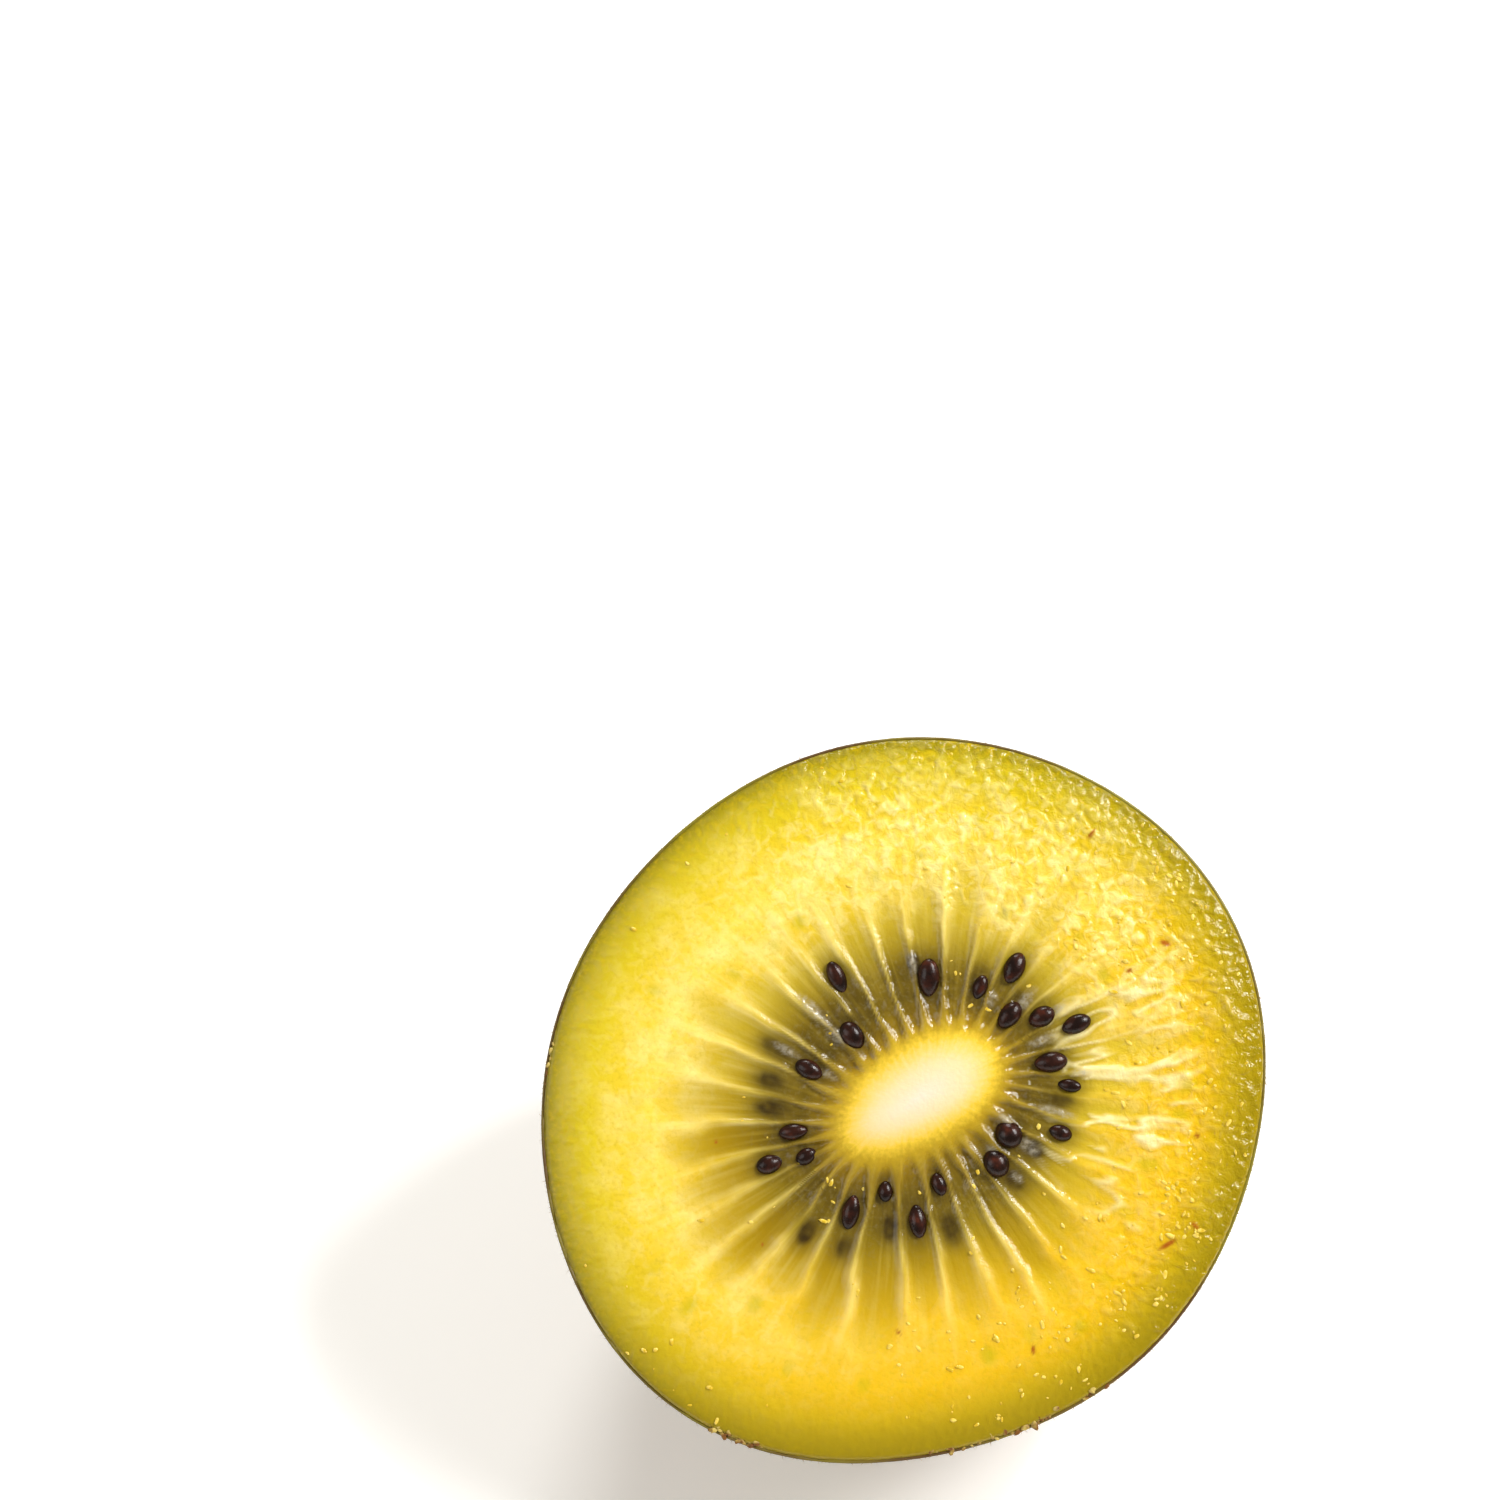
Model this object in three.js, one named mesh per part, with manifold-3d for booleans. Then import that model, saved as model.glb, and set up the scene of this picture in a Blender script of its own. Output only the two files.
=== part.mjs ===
// Half of a golden kiwi fruit, cut across the middle, as a standalone three.js model.
// Units are millimetres and +Z is up. The half lies on its skin, with the cut face turned up
// and to the front (-Y). The origin is the centre of the small flat spot that it rests on.
// The fruit grew as one piece, so its skin, flesh, core and seeds are one solid.

import * as THREE from "three";
import { mergeVertices } from "three/addons/utils/BufferGeometryUtils.js";
import Module from "manifold-3d";

const wasm = await Module();
wasm.setup();

const degree = Math.PI / 180;

// Driving dimensions of the whole half.
const faceRadius = 26; // mean radius of the cut face
const halfLength = 36; // from the cut face to the stem end
const fullness = 2.18; // power of the side profile, where 2 is an ellipse
const faceTilt = 40; // degrees between the cut face and the table
const restDepth = 0.5; // how much the skin gives where it rests

// The outline of the cut face is an oval with slight further lobes. Each rise is a share of the
// radius, and each turn is the bearing of one of its lobes.
const outlineLobes = [
  { lobes: 2, rise: 0.042, turn: 47 * degree },
  { lobes: 3, rise: 0.005, turn: -3 * degree },
  { lobes: 4, rise: 0.005, turn: -41 * degree },
  { lobes: 5, rise: 0.006, turn: 27 * degree },
];

// The pale core is an oval a little off the middle of the face.
const coreCentre = new THREE.Vector2(1.3, 0.1);
const coreTurn = 33 * degree;
const coreStretch = 2.8; // how much longer than wide its half length is
const coreShare = 0.13; // how far out its edge lies, as a share of the way to the rim
const coreRise = 0.5; // how far it stands out of the face
const coreSlope = 0.06; // share of the way out over which it falls to the face

// The flesh is cut flat, then the seed chambers sink and the rays between them stand out.
const chamberWidth = 10.5; // degrees from ray to ray where no seed says otherwise
const sameChamber = 6; // seeds closer than this many degrees share a chamber
const rayHeight = 0.22;
const chamberSink = 0.3;
const raySlope = 0.24; // where a ray's slope ends, as a share of its spacing
const chambersBegin = [0.15, 0.24]; // shares of the way out
const chambersEnd = [0.52, 0.74];
const edgeSink = 0.35; // the flesh rounds down to the skin at the rim
const edgeBegin = 0.86;

// The stem scar is a shallow cup with a raised ring round it and a dry plug in it.
const scarRingRadius = 4.3;
const scarRingRise = 0.45;
const scarRingWidth = 0.6;
const scarCupRadius = 3.5;
const scarCupSink = 1.1;
const scarPlugRadius = 1.9;
const scarPlugRise = 0.7;
const scarRoundness = 0.45; // width of each step of the scar

// Seeds, as read from the photographed face: x to the right and y up the face from the middle
// of the core, then length and width. The buried ones lie under the cut and only space the rays.
const openSeeds = [
  [0.3, 8.6, 2.8, 1.5],
  [4.0, 8.1, 1.8, 1.0],
  [6.4, 9.6, 2.4, 1.4],
  [6.2, 6.2, 2.2, 1.4],
  [8.5, 6.2, 2.0, 1.4],
  [11.0, 5.8, 2.2, 1.3],
  [9.3, 3.0, 2.4, 1.4],
  [10.7, 1.4, 1.7, 0.9],
  [10.2, -2.0, 1.7, 1.1],
  [6.5, -2.3, 2.1, 1.8],
  [5.7, -4.4, 2.1, 1.7],
  [1.7, -6.1, 1.7, 1.0],
  [0.3, -8.8, 2.4, 1.2],
  [-2.1, -6.8, 1.5, 1.0],
  [-4.5, -8.4, 2.5, 1.2],
  [-7.9, -4.6, 1.6, 1.1],
  [-10.5, -5.3, 1.9, 1.3],
  [-8.9, -2.9, 2.1, 1.1],
  [-8.0, 1.6, 2.1, 1.3],
  [-5.0, 4.2, 2.2, 1.5],
  [-6.3, 8.3, 2.5, 1.2],
];
const buriedSeeds = [
  [-0.8, 9.5, 1.6, 1.0],
  [10.2, 0.3, 1.6, 1.0],
  [8.4, -3.2, 1.6, 1.2],
  [7.1, -5.5, 1.6, 1.2],
  [2.7, -9.2, 2.1, 1.1],
  [-1.6, -9.4, 1.9, 1.1],
  [-4.9, -10.9, 1.5, 1.0],
  [-7.6, -10.0, 1.9, 1.1],
  [-10.6, -1.3, 2.2, 1.1],
  [-10.8, 0.7, 2.0, 1.1],
  [-10.5, 3.1, 2.1, 1.1],
];
const seedThickness = 0.8; // a seed's thickness as a share of its width
const seedRise = 0.05; // how far a seed's middle stands over the flesh

// Where the rings of faces lie, from the stem end to the middle of the cut face.
const scarRings = [0, 1.5, 2.3, 3.2, 3.9, 4.6, 5.6]; // radii
const sideRings = [72, 62, 52, 42, 32, 22, 13, 5].map((angle) => angle * degree);
const faceRings = [1, 0.96, 0.86, 0.74, 0.62, 0.5, 0.38, 0.28, 0.21, 0.15, 0.09, 0.04, 0];

// Steps and tolerances of the sums.
const placeSteps = 40; // steps that find the share and bearing of a place
const shortStep = 0.01; // share by which two points of a ray differ, to read its direction
const onTable = 1e-3; // corners this near the table belong to the flat spot
const samePoint = 1e-4; // corners this near each other are merged

const smooth = (low, high, value) => THREE.MathUtils.smoothstep(value, low, high);

// Radius of the outline at a bearing. Its lobes fade towards the round stem end.
function outline(bearing, fade = 1) {
  let rises = 0;
  for (const { lobes, rise, turn } of outlineLobes) {
    rises += rise * Math.cos(lobes * (bearing - turn));
  }
  return faceRadius * (1 + fade * rises);
}

// A point of the cut face, from its share of the way out and its bearing. The rays are lines of
// equal bearing: near the core they spread along its length, and at the rim they point outwards.
function facePoint(share, bearing) {
  const radius = share * outline(bearing);
  const steps = share / coreShare;
  const spread = coreStretch * steps * Math.exp(1 - steps) * Math.cos(bearing - coreTurn);
  return new THREE.Vector2(Math.cos(bearing), Math.sin(bearing))
    .multiplyScalar(radius)
    .addScaledVector(coreCentre, 1 - share)
    .addScaledVector(new THREE.Vector2(Math.cos(coreTurn), Math.sin(coreTurn)), spread);
}

// The share and bearing of a place on the face, found by stepping until facePoint meets it.
function rayPlace(place) {
  const guess = place.clone().sub(coreCentre);
  for (let step = 0; step < placeSteps; step++) {
    const share = guess.length() / faceRadius;
    guess.add(place).sub(facePoint(share, guess.angle()));
  }
  return { share: guess.length() / faceRadius, bearing: guess.angle() };
}

// Spaces the rays so that every seed lies in the middle of a chamber: each anchor is a seed's
// bearing and its place in the count of chambers, and between anchors the count is even.
function spaceChambers(bearings) {
  const [first, ...others] = [...bearings].sort((a, b) => a - b);
  const anchors = [{ bearing: first, count: 0.5 }];
  const fullTurn = first + 2 * Math.PI;
  for (const bearing of [...others, fullTurn]) {
    const last = anchors[anchors.length - 1];
    const gap = (bearing - last.bearing) / degree;
    if (gap >= sameChamber || bearing === fullTurn) {
      const chambers = Math.max(1, Math.round(gap / chamberWidth));
      anchors.push({ bearing, count: last.count + chambers });
    }
  }
  return anchors;
}

// The bearing at a place in the count of chambers, where whole numbers are rays.
function bearingAt(count, anchors) {
  const turns = anchors[anchors.length - 1].count - anchors[0].count;
  const wrapped = count < anchors[0].count ? count + turns : count;
  const next = anchors.findIndex((anchor) => anchor.count >= wrapped) || 1;
  const [from, to] = [anchors[next - 1], anchors[next]];
  const part = (wrapped - from.count) / (to.count - from.count);
  return THREE.MathUtils.lerp(from.bearing, to.bearing, part);
}

// Height of the cut face over its flat plane. rayPart is 1 on a ray and 0 in a chamber.
function faceRelief(share, rayPart) {
  const chambers = smooth(...chambersBegin, share) * (1 - smooth(...chambersEnd, share));
  const core = coreRise * (1 - smooth(0, coreShare + coreSlope, share));
  const edge = edgeSink * smooth(edgeBegin, 1, share) ** 2;
  return core - edge + chambers * THREE.MathUtils.lerp(-chamberSink, rayHeight, rayPart);
}

// Depth of the side of the fruit under the cut face, at a share of the outline's radius.
const sideDepth = (share) => halfLength * (1 - share ** fullness) ** (1 / fullness);

// Relief of the stem scar at a radius from the fruit's axis, where outwards is positive.
function scarRelief(radius) {
  const ring = scarRingRise * Math.exp(-(((radius - scarRingRadius) / scarRingWidth) ** 2));
  const inCup = 1 - smooth(scarCupRadius - scarRoundness, scarCupRadius + scarRoundness, radius);
  const onPlug = 1 - smooth(scarPlugRadius - scarRoundness, scarPlugRadius + scarRoundness, radius);
  return ring - scarCupSink * inCup + scarPlugRise * onPlug;
}

// The closed surface as rings from the stem end, up the side, over the rim to the middle.
function surfaceStations() {
  const scar = scarRings.map((radius) => {
    const share = radius / faceRadius;
    return { share, height: -sideDepth(share) - scarRelief(radius) };
  });
  const side = sideRings.map((angle) => ({
    share: Math.cos(angle) ** (2 / fullness),
    height: -halfLength * Math.sin(angle) ** (2 / fullness),
  }));
  const face = faceRings.map((share) => ({ share, onFace: true }));
  return [...scar, ...side, ...face];
}

// A lathed body with three columns of faces to a ray: its crest and the two edges of a chamber.
function bodyGeometry(anchors) {
  const stations = surfaceStations();
  const rays = Math.round(anchors[anchors.length - 1].count - anchors[0].count);
  const columns = 3 * rays;
  const profile = stations.map(({ share }, ring) => new THREE.Vector2(share * faceRadius, ring));
  const geometry = new THREE.LatheGeometry(profile, columns);
  const position = geometry.getAttribute("position");
  for (let index = 0; index < position.count; index++) {
    const { share, height, onFace } = stations[index % stations.length];
    const column = Math.floor(index / stations.length) % columns;
    const withinRay = [0, raySlope, 1 - raySlope][column % 3];
    const bearing = bearingAt(Math.floor(column / 3) + withinRay, anchors);
    if (onFace) {
      const place = facePoint(share, bearing);
      position.setXYZ(index, place.x, place.y, faceRelief(share, column % 3 === 0 ? 1 : 0));
    } else {
      const fade = 1 - (height / halfLength) ** 2;
      const radius = share * outline(bearing, fade);
      position.setXYZ(index, radius * Math.cos(bearing), radius * Math.sin(bearing), height);
    }
  }
  return geometry;
}

// One seed as a squashed ball, its long axis along the ray that it lies by.
function seedGeometry([x, y, length, width]) {
  const place = new THREE.Vector2(x, y).add(coreCentre);
  const { share, bearing } = rayPlace(place);
  const [inner, outer] = [share - shortStep, share + shortStep];
  const along = facePoint(outer, bearing).sub(facePoint(inner, bearing));
  return new THREE.SphereGeometry(0.5, 10, 6)
    .scale(length, width, width * seedThickness)
    .rotateZ(along.angle())
    .translate(place.x, place.y, faceRelief(share, 0) + seedRise);
}

// A closed three.js geometry as a manifold-3d solid.
function toSolid(geometry) {
  const bare = geometry.clone();
  bare.deleteAttribute("normal");
  bare.deleteAttribute("uv");
  const merged = mergeVertices(bare, samePoint);
  const mesh = new wasm.Mesh({
    numProp: 3,
    vertProperties: new Float32Array(merged.getAttribute("position").array),
    triVerts: new Uint32Array(merged.index.array),
  });
  return new wasm.Manifold(mesh);
}

// A manifold-3d solid as a three.js geometry.
function toGeometry(solid) {
  const { vertProperties, triVerts } = solid.getMesh();
  const geometry = new THREE.BufferGeometry();
  geometry.setAttribute("position", new THREE.BufferAttribute(vertProperties, 3));
  geometry.setIndex(new THREE.BufferAttribute(triVerts, 1));
  return geometry;
}

// Turns the half onto its side, lets it down onto the table and flattens the spot it rests on.
function layDown(geometry) {
  geometry.rotateX(faceTilt * degree);
  geometry.computeBoundingBox();
  geometry.translate(0, 0, -geometry.boundingBox.min.z - restDepth);
  const table = new THREE.BoxGeometry(4 * faceRadius, 4 * faceRadius, 10).translate(0, 0, -5);
  return toGeometry(toSolid(geometry).subtract(toSolid(table)));
}

// Moves the middle of the flat spot to the origin.
function centreOnRestSpot(geometry) {
  const position = geometry.getAttribute("position");
  const spot = new THREE.Box3();
  for (let index = 0; index < position.count; index++) {
    const corner = new THREE.Vector3().fromBufferAttribute(position, index);
    if (Math.abs(corner.z) < onTable) spot.expandByPoint(corner);
  }
  const middle = spot.getCenter(new THREE.Vector3());
  return geometry.translate(-middle.x, -middle.y, 0);
}

function halfFruitGeometry() {
  const seeds = [...openSeeds, ...buriedSeeds];
  const places = seeds.map(([x, y]) => new THREE.Vector2(x, y).add(coreCentre));
  const anchors = spaceChambers(places.map((place) => rayPlace(place).bearing));
  let fruit = toSolid(bodyGeometry(anchors));
  for (const seed of openSeeds) {
    fruit = fruit.add(toSolid(seedGeometry(seed)));
  }
  return centreOnRestSpot(layDown(toGeometry(fruit)));
}

const fleshFinish = new THREE.MeshStandardMaterial({
  color: 0xe8c32a,
  roughness: 0.35,
  metalness: 0,
  flatShading: true,
});

const halfFruit = new THREE.Mesh(halfFruitGeometry(), fleshFinish);
halfFruit.name = "half_fruit";

const kiwi = new THREE.Group();
kiwi.name = "golden_kiwi_half";
kiwi.add(halfFruit);

export default kiwi;
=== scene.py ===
# %% [markdown]
# # Half of a golden kiwi fruit
# This lesson dresses half of a golden kiwi fruit in Blender. The fruit was cut across the middle
# and lies on its skin, so its wet yellow face looks up and to the front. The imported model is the
# frame: it holds the true size and the place of every piece, and nothing here moves it.

# %% Load the frame
import math

import bmesh
import bpy
import numpy as np
from mathutils import Matrix, Vector, noise


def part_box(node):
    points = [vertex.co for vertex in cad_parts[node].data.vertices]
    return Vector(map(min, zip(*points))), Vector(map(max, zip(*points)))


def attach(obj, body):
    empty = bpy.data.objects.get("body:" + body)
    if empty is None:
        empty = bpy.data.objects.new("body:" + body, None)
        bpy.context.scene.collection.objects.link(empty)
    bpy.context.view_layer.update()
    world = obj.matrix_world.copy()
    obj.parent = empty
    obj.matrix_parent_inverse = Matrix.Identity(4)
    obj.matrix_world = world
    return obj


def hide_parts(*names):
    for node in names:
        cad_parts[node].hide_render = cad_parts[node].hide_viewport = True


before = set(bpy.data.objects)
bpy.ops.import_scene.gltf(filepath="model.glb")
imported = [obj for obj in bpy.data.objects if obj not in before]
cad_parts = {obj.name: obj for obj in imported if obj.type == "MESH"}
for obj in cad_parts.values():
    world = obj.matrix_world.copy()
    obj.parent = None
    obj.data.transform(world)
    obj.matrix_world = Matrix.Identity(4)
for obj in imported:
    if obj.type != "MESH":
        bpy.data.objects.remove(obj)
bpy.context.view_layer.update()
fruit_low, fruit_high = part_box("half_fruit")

MM = 0.001
print("frame box in mm:", [round(side / MM, 1) for side in fruit_high - fruit_low])

# %% [markdown]
# ## The shape of the half
# A kiwi fruit is nearly an ellipsoid. Its cut face is an oval with slight further lobes, and its
# side is a superellipse from the rim to the stem end. Both could be drawn by hand, but a formula
# keeps every later piece, such as the skin, the flesh and the down, on the same surface.
# Here x runs right and y up the cut face, and z stands out of it, all in millimetres.

# %% Outline and side
FACE_RADIUS = 26.0
HALF_LENGTH = 36.0
FULLNESS = 2.18
OUTLINE_LOBES = [(2, 0.042, 47), (3, 0.005, -3), (4, 0.005, -41), (5, 0.006, 27)]


def smooth(low, high, value):
    """0 below low and 1 above high, with a soft step between them."""
    part = np.clip((value - low) / (high - low), 0, 1)
    return part * part * (3 - 2 * part)


def outline(bearing, depth=0.0):
    """Radius of the fruit at a bearing. Its lobes fade towards the round stem end."""
    rises = 0
    for lobes, rise, degrees in OUTLINE_LOBES:
        rises = rises + rise * np.cos(lobes * (bearing - math.radians(degrees)))
    return FACE_RADIUS * (1 + (1 - (depth / HALF_LENGTH) ** 2) * rises)


def side_profile(turn):
    """Share of the outline and depth under the cut, from the rim (turn 0) to the stem end."""
    return np.cos(turn) ** (2 / FULLNESS), HALF_LENGTH * np.sin(turn) ** (2 / FULLNESS)


# %% [markdown]
# ## Lying down
# The half is modelled with its face level and is laid on its side last, with one matrix. The turn
# is the tilt of the face, and the shift comes from the frame: the turned shape has to fill the
# same box as the solid that it stands for.

# %% One matrix for every piece
FACE_TILT = math.radians(40)


def side_points(rows=200, columns=360):
    """Points all over the outside of the fruit, as an array."""
    turn = np.linspace(0, math.pi / 2, rows)[:, None]
    bearing = np.linspace(0, 2 * math.pi, columns)[None, :]
    share, depth = side_profile(turn)
    radius = share * outline(bearing, depth)
    deep = np.broadcast_to(-depth, radius.shape)
    points = (radius * np.cos(bearing), radius * np.sin(bearing), deep)
    return np.stack(points, axis=-1).reshape(-1, 3) * MM


tilt = Matrix.Rotation(FACE_TILT, 4, "X")
tilted = side_points() @ np.array(tilt.to_3x3()).T
middle = (Vector(tilted.min(0)) + Vector(tilted.max(0))) / 2
shift = (fruit_low + fruit_high) / 2 - middle
shift.z = fruit_high.z - tilted[:, 2].max()
LIE_DOWN = Matrix.Translation(shift) @ tilt @ Matrix.Scale(MM, 4)
face_centre = LIE_DOWN @ Vector((0, 0, 0))
print("face centre in mm:", [round(value / MM, 2) for value in face_centre])
print("lowest skin before it gives, in mm:", round((tilted[:, 2].min() + shift.z) / MM, 2))

# %% [markdown]
# ## The camera
# The photograph looks square onto the cut face from a little way off. A long lens keeps the face
# from bulging. The face sits low and to the right in the picture, so the camera is aimed past
# it: from the pixel where the face's middle has to land come how far the camera dips and turns.

# %% Camera at the photographed angle
LENS = 85.0
SENSOR = 36.0
PICTURE = 1500
FACE_PIXEL = (901, 1098)
FACE_PIXELS_PER_MM = 13.88
VIEW_ELEVATION = math.radians(50)

focal_pixels = LENS / SENSOR * PICTURE
distance = focal_pixels / FACE_PIXELS_PER_MM * MM
towards_camera = Vector((0, -math.cos(VIEW_ELEVATION), math.sin(VIEW_ELEVATION)))
sight = Vector((FACE_PIXEL[0] - PICTURE / 2, PICTURE / 2 - FACE_PIXEL[1], focal_pixels))
sight.normalize()
upright = math.hypot(sight.y, sight.z)
dip = math.asin(math.sin(VIEW_ELEVATION) / upright) + math.atan2(sight.y, sight.z)
turn_left = math.atan2(sight.x, sight.y * math.sin(dip) + sight.z * math.cos(dip))

lens = bpy.data.cameras.new("camera")
lens.lens = LENS
lens.sensor_width = SENSOR
lens.clip_start = 0.01
camera = bpy.data.objects.new("camera", lens)
camera.location = face_centre + distance * towards_camera
camera.rotation_euler = (math.pi / 2 - dip, 0, turn_left)
bpy.context.scene.collection.objects.link(camera)
bpy.context.scene.camera = camera
print("camera distance in mm:", round(distance / MM, 1), "dip:", round(math.degrees(dip), 1))

# %% [markdown]
# ## Seeds and rays
# The seeds lie in narrow chambers round the pale core, and thin pale rays run between the
# chambers. The seeds could be scattered by a random draw, but their places are what makes one cut
# face differ from another, so they are read from the real face: x and y from the middle of the
# core, then length and width. The rays then follow by a rule, so that every seed has a chamber.

# %% Seeds on the face
CORE_CENTRE = np.array([1.3, 0.1])
CORE_TURN = math.radians(33)
CORE_STRETCH = 2.7
CORE_TAPER = 0.4
CORE_SHARE = 0.13
OPEN_SEEDS = [
    (0.3, 8.6, 2.8, 1.5), (4.0, 8.1, 1.8, 1.0), (6.4, 9.6, 2.4, 1.4),
    (6.2, 6.2, 2.2, 1.4), (8.5, 6.2, 2.0, 1.4), (11.0, 5.8, 2.2, 1.3),
    (9.3, 3.0, 2.4, 1.4), (10.7, 1.4, 1.7, 0.9), (10.2, -2.0, 1.7, 1.1),
    (6.5, -2.3, 2.1, 1.8), (5.7, -4.4, 2.1, 1.7), (1.7, -6.1, 1.7, 1.0),
    (0.3, -8.8, 2.4, 1.2), (-2.1, -6.8, 1.5, 1.0), (-4.5, -8.4, 2.5, 1.2),
    (-7.9, -4.6, 1.6, 1.1), (-10.5, -5.3, 1.9, 1.3), (-8.9, -2.9, 2.1, 1.1),
    (-8.0, 1.6, 2.1, 1.3), (-5.0, 4.2, 2.2, 1.5), (-6.3, 8.3, 2.5, 1.2),
]
BURIED_SEEDS = [
    (-0.8, 9.5, 1.6, 1.0), (10.2, 0.3, 1.6, 1.0), (8.4, -3.2, 1.6, 1.2),
    (7.1, -5.5, 1.6, 1.2), (2.7, -9.2, 2.1, 1.1), (-1.6, -9.4, 1.9, 1.1),
    (-4.9, -10.9, 1.5, 1.0), (-7.6, -10.0, 1.9, 1.1), (-10.6, -1.3, 2.2, 1.1),
    (-10.8, 0.7, 2.0, 1.1), (-10.5, 3.1, 2.1, 1.1),
]
print("open seeds:", len(OPEN_SEEDS), "buried seeds:", len(BURIED_SEEDS))

# %% [markdown]
# Plain polar coordinates would make every ray start at one point. On the real face they start
# along the whole length of the oval core, so the rays are spread along it near the middle and
# only become radial further out. The core is blunt at one end and narrow at the other, like a
# drop. Share is how far out a place lies, from 0 in the core to 1 at the rim, and bearing is the
# direction in which its ray meets the rim.

# %% Places on the face
core_along = np.array([math.cos(CORE_TURN), math.sin(CORE_TURN)])
core_across = np.array([-math.sin(CORE_TURN), math.cos(CORE_TURN)])


def face_point(share, bearing):
    """x and y of a place on the face, in the last axis."""
    near = share / CORE_SHARE * np.exp(1 - share / CORE_SHARE)
    spread = CORE_STRETCH * near * np.cos(bearing - CORE_TURN)
    taper = CORE_TAPER * near * np.sin(2 * (bearing - CORE_TURN)) / 2
    radius = share * outline(bearing)
    out = np.stack([radius * np.cos(bearing), radius * np.sin(bearing)], axis=-1)
    off_centre = np.multiply.outer(1 - share, CORE_CENTRE)
    out = out + np.multiply.outer(spread, core_along) + np.multiply.outer(taper, core_across)
    return out + off_centre


def ray_place(point, steps=40):
    """Share and bearing of a place on the face, found by stepping until face_point meets it."""
    guess = np.array(point, float) - CORE_CENTRE
    for _ in range(steps):
        share = np.hypot(*guess) / FACE_RADIUS
        guess += point - face_point(share, np.arctan2(guess[1], guess[0]))
    return np.hypot(*guess) / FACE_RADIUS, np.arctan2(guess[1], guess[0])


def ray_turn(point):
    """Direction on the face of the ray through a place."""
    share, bearing = ray_place(point)
    step = face_point(share + 0.01, bearing) - face_point(share - 0.01, bearing)
    return math.atan2(step[1], step[0])


# %% Chambers between the rays
CHAMBER_WIDTH = 10.5
SAME_CHAMBER = 6.0
FULL_TURN = 2 * math.pi

seed_places = [ray_place(CORE_CENTRE + (x, y)) for x, y, _, _ in OPEN_SEEDS + BURIED_SEEDS]
first, *others = sorted(bearing % FULL_TURN for _, bearing in seed_places)
anchors = [(first, 0.5)]
for bearing in [*others, first + FULL_TURN]:
    gap = math.degrees(bearing - anchors[-1][0])
    if gap >= SAME_CHAMBER or bearing == first + FULL_TURN:
        anchors.append((bearing, anchors[-1][1] + max(1, math.floor(gap / CHAMBER_WIDTH + 0.5))))
anchor_bearings, anchor_counts = np.array(anchors).T
ray_total = round(anchor_counts[-1] - anchor_counts[0])
print("rays round the core:", ray_total)


def chamber_count(bearing):
    """Where a bearing lies in the count of chambers. Whole numbers are rays, halves are middles."""
    turned = (bearing - anchor_bearings[0]) % FULL_TURN + anchor_bearings[0]
    return np.interp(turned, anchor_bearings, anchor_counts)


def count_bearing(count):
    """The bearing at a place in the count of chambers."""
    turned = (count - anchor_counts[0]) % ray_total + anchor_counts[0]
    return np.interp(turned, anchor_counts, anchor_bearings)


# %% [markdown]
# ## Small helpers
# Every piece is a mesh whose corners get moved by a formula, so two helpers read and write all
# corners at once. A third one closes a piece: it lays the mesh down, keeps it off the table, puts
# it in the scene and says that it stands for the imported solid.

# %% Mesh helpers
def corners(mesh):
    """All corner positions of a mesh as an array."""
    flat = np.empty(len(mesh.vertices) * 3, np.float32)
    mesh.vertices.foreach_get("co", flat)
    return flat.reshape(-1, 3).astype(float)


def set_corners(mesh, points):
    """Writes an array of positions back to a mesh."""
    mesh.vertices.foreach_set("co", np.asarray(points, np.float32).ravel())
    mesh.update()


def store(mesh, name, values):
    """Keeps one number, or one vector, for each corner of a mesh, for its material to read."""
    values = np.asarray(values, np.float32)
    vector = values.ndim == 2
    kept = mesh.attributes.new(name, "FLOAT_VECTOR" if vector else "FLOAT", "POINT")
    kept.data.foreach_set("vector" if vector else "value", values.ravel())


def to_mesh(shape, name):
    """Ends a bmesh: normals outwards, smooth faces, and a mesh of that name."""
    bmesh.ops.recalc_face_normals(shape, faces=shape.faces)
    for face in shape.faces:
        face.smooth = True
    mesh = bpy.data.meshes.new(name)
    shape.to_mesh(mesh)
    shape.free()
    return mesh


def finish_piece(mesh, name, material, lowest=0.0):
    """Lays a mesh down, keeps it above lowest (mm over the table) and adds it as a piece."""
    mesh.transform(LIE_DOWN)
    points = corners(mesh)
    points[:, 2] = np.maximum(points[:, 2], lowest * MM)
    set_corners(mesh, points)
    mesh.materials.append(material)
    piece = bpy.data.objects.new(name, mesh)
    bpy.context.scene.collection.objects.link(piece)
    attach(piece, "root")
    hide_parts("half_fruit")
    mesh.calc_loop_triangles()
    print(name, "triangles:", len(mesh.loop_triangles))


# %% [markdown]
# ## Material helpers
# Colours are written as the hex values that an eyedropper shows, and Blender wants linear light,
# so one function turns them. Another adds a node, sets its properties and joins its sockets.

# %% Colour and node helpers
def linear(code):
    """An sRGB hex colour as linear red, green, blue and alpha."""
    levels = [int(code[place : place + 2], 16) / 255 for place in (1, 3, 5)]
    light = [v / 12.92 if v <= 0.04045 else ((v + 0.055) / 1.055) ** 2.4 for v in levels]
    return (*light, 1.0)


def new_material(name):
    """An empty material and its node tree."""
    material = bpy.data.materials.new(name)
    material.use_nodes = True
    material.node_tree.nodes.clear()
    return material, material.node_tree


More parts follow.
